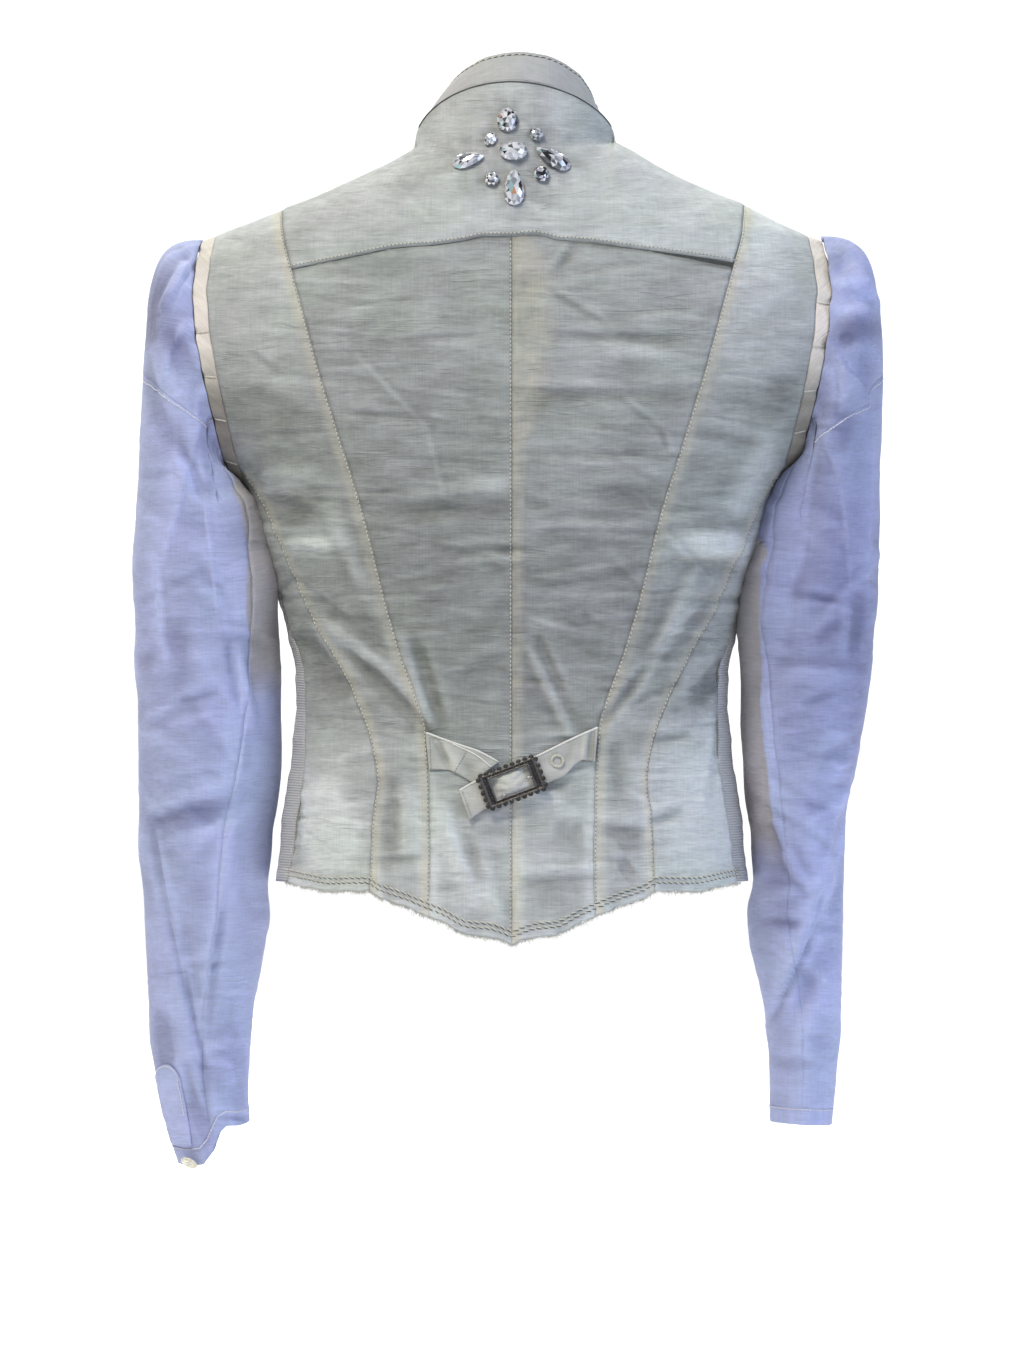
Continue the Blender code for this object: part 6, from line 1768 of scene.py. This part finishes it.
# %% Buttons
pearl, tree = fresh("turned_shell_pearl", Roughness=0.25, Coat_Weight=0.5)
layers = remap(tree, cloud(tree, 260.0, 3.0, distortion=1.2), 0.35, 0.65)
dress(tree, Base_Color=tinted(tree, "#cfcba8", "#f1f0e2", layers))
BUTTON = ((0.0, 0.0), (4.6, 0.0), (5.3, 0.5), (5.5, 1.2), (5.3, 1.9), (4.8, 2.3), (4.2, 2.25),
          (3.6, 1.8), (2.6, 1.6), (1.2, 1.6), (0.0, 1.6))


def turned_button(name, node, foot, out):
    """The half section turned round the axis; gives back the places of its four holes."""
    level, up = turned(out)
    turn = circle(40)[None, :, None]
    radius, height = np.array(BUTTON).T[..., None, None] * MM
    radius = np.maximum(radius, 0.01 * MM)
    grid = foot + radius * (np.cos(turn) * level + np.sin(turn) * up) + height * out
    place(name, grid_mesh(name, grid[::-1], True), pearl, "pearl", [node])
    corners = CORNERS * 0.95 * MM
    holes = foot + corners[:, :1] * level + corners[:, 1:] * up + out * 1.62 * MM
    return holes, np.tile(level, (4, 1)), np.tile(out, (4, 1))


button_holes = []
for number, height in enumerate(np.linspace(-97 * MM, -455 * MM, 6), 1):
    out = body_out(0.0, height, -1)
    foot = on_body(0.0, height, -1) + out * 2.3 * MM
    button_holes.append(
        turned_button(f"pearl_front_button_{number}", f"front_button_{number}", foot, out))
for hand, word in HANDS:
    angle, run = np.array(math.radians(60 * hand)), np.array(2 - 0.012)
    out = sleeve_out(hand, angle, run)
    foot = sleeve_point(hand, angle, run) + (out * 2.2 + np.array([0, 0, -1.5])) * MM
    out = unit(out + np.array([0, 0, -1.1]))
    button_holes.append(
        turned_button("pearl_cuff_button_" + word, "cuff_button_" + word, foot, out))
# The buttons' holes are flat dark beads: painted shade in them
scatter("button_holes", grain(8), *joined(button_holes), (1.2, 1.2, 0.25), painted_hole_shadow, "pearl")

# %% [markdown]
# ## The studio
# A pale round room with a soft light behind the camera and above it, a weaker one on the other side
# and one at the front. Two more light the wall and the floor beyond the garment, as for a shop's
# picture on white. The camera looks at the middle of the back, from far enough to keep the seams as
# straight as in the photo.

# %% Floor, lights and camera
FLOOR_LEVEL, ROOM_SPREAD = -0.86, 1.9
turn = circle(96)
profile = np.array([(0.0, 0), (1.5, 0), (3.6, 0), (4.8, 0.12), (5.5, 0.5), (5.9, 1.1), (6.0, 2.2)])
away, high = profile[:, :1] * ROOM_SPREAD, profile[:, 1:] + FLOOR_LEVEL
room = np.stack(np.broadcast_arrays(away * np.cos(turn), away * np.sin(turn), high), axis=-1)
room_mesh = grid_mesh("pale_floor", room[:, ::-1], True)
joining = bmesh.new()
joining.from_mesh(room_mesh)
bmesh.ops.remove_doubles(joining, verts=joining.verts, dist=1e-5)
joining.to_mesh(room_mesh)
joining.free()
paper, tree = fresh("pale_studio_paper", Roughness=0.9)
dress(tree, Base_Color=tinted(tree, "#f4f4f4", "#f8f8f8", cloud(tree, 3.0)))
floor = bpy.data.objects.new("pale_floor", room_mesh)
room_mesh.materials.append(paper)
bpy.context.scene.collection.objects.link(floor)


def softbox(name, place_at, aim, size, power, colour="#ffffff"):
    """A square area light that faces a point."""
    light = bpy.data.lights.new(name, "AREA")
    light.shape, light.size, light.energy = "SQUARE", size, power
    light.color = linear(colour)[:3]
    lamp = bpy.data.objects.new(name, light)
    bpy.context.scene.collection.objects.link(lamp)
    from_aim = np.asarray(place_at, float) - aim
    yaw = math.atan2(from_aim[0], -from_aim[1])
    pitch = math.acos(from_aim[2] / np.linalg.norm(from_aim))
    lamp.location, lamp.rotation_euler = place_at, (pitch, 0, yaw)


aim = np.array([0, 0, -0.35])
softbox("key_softbox", (0.9, 1.3, 2.1), aim, 1.0, 60, "#fff7ec")
softbox("fill_softbox", (-2.1, 1.6, 0.4), aim, 1.6, 22, "#bdd3ff")
softbox("front_softbox", (0.6, -2.4, 1.2), aim, 1.8, 26)
softbox("wall_softbox", (0, -2.6, 0.3), (0, -8, -0.3), 3.4, 780)
softbox("floor_softbox", (0, -3.2, 2.6), (0, -4.4, FLOOR_LEVEL), 3.4, 210)
world = bpy.data.worlds.new("studio_air")
bpy.context.scene.world = world
world.use_nodes = True
air = world.node_tree.nodes["Background"]
air.inputs["Color"].default_value = linear("#f7f9ff")
air.inputs["Strength"].default_value = 0.28
bpy.context.scene.view_settings.view_transform = "Standard"

MM_PER_PIXEL = 0.61 * MM
PICTURE = (1024, 1365)
PICTURE_CENTRE = np.array([0.0, 0.025, (83 - PICTURE[1] / 2) * MM_PER_PIXEL])
DISTANCE = 6.4
SENSOR = 36
camera_data = bpy.data.cameras.new("photo_camera")
camera_data.sensor_width = SENSOR
camera_data.lens = SENSOR * DISTANCE / (PICTURE[1] * MM_PER_PIXEL)
camera = bpy.data.objects.new("photo_camera", camera_data)
bpy.context.scene.collection.objects.link(camera)
camera.location = PICTURE_CENTRE + np.array([0, DISTANCE, 0])
camera.rotation_euler = (math.pi / 2, 0, math.pi)
bpy.context.scene.camera = camera
print("camera lens in mm:", round(camera_data.lens, 1))
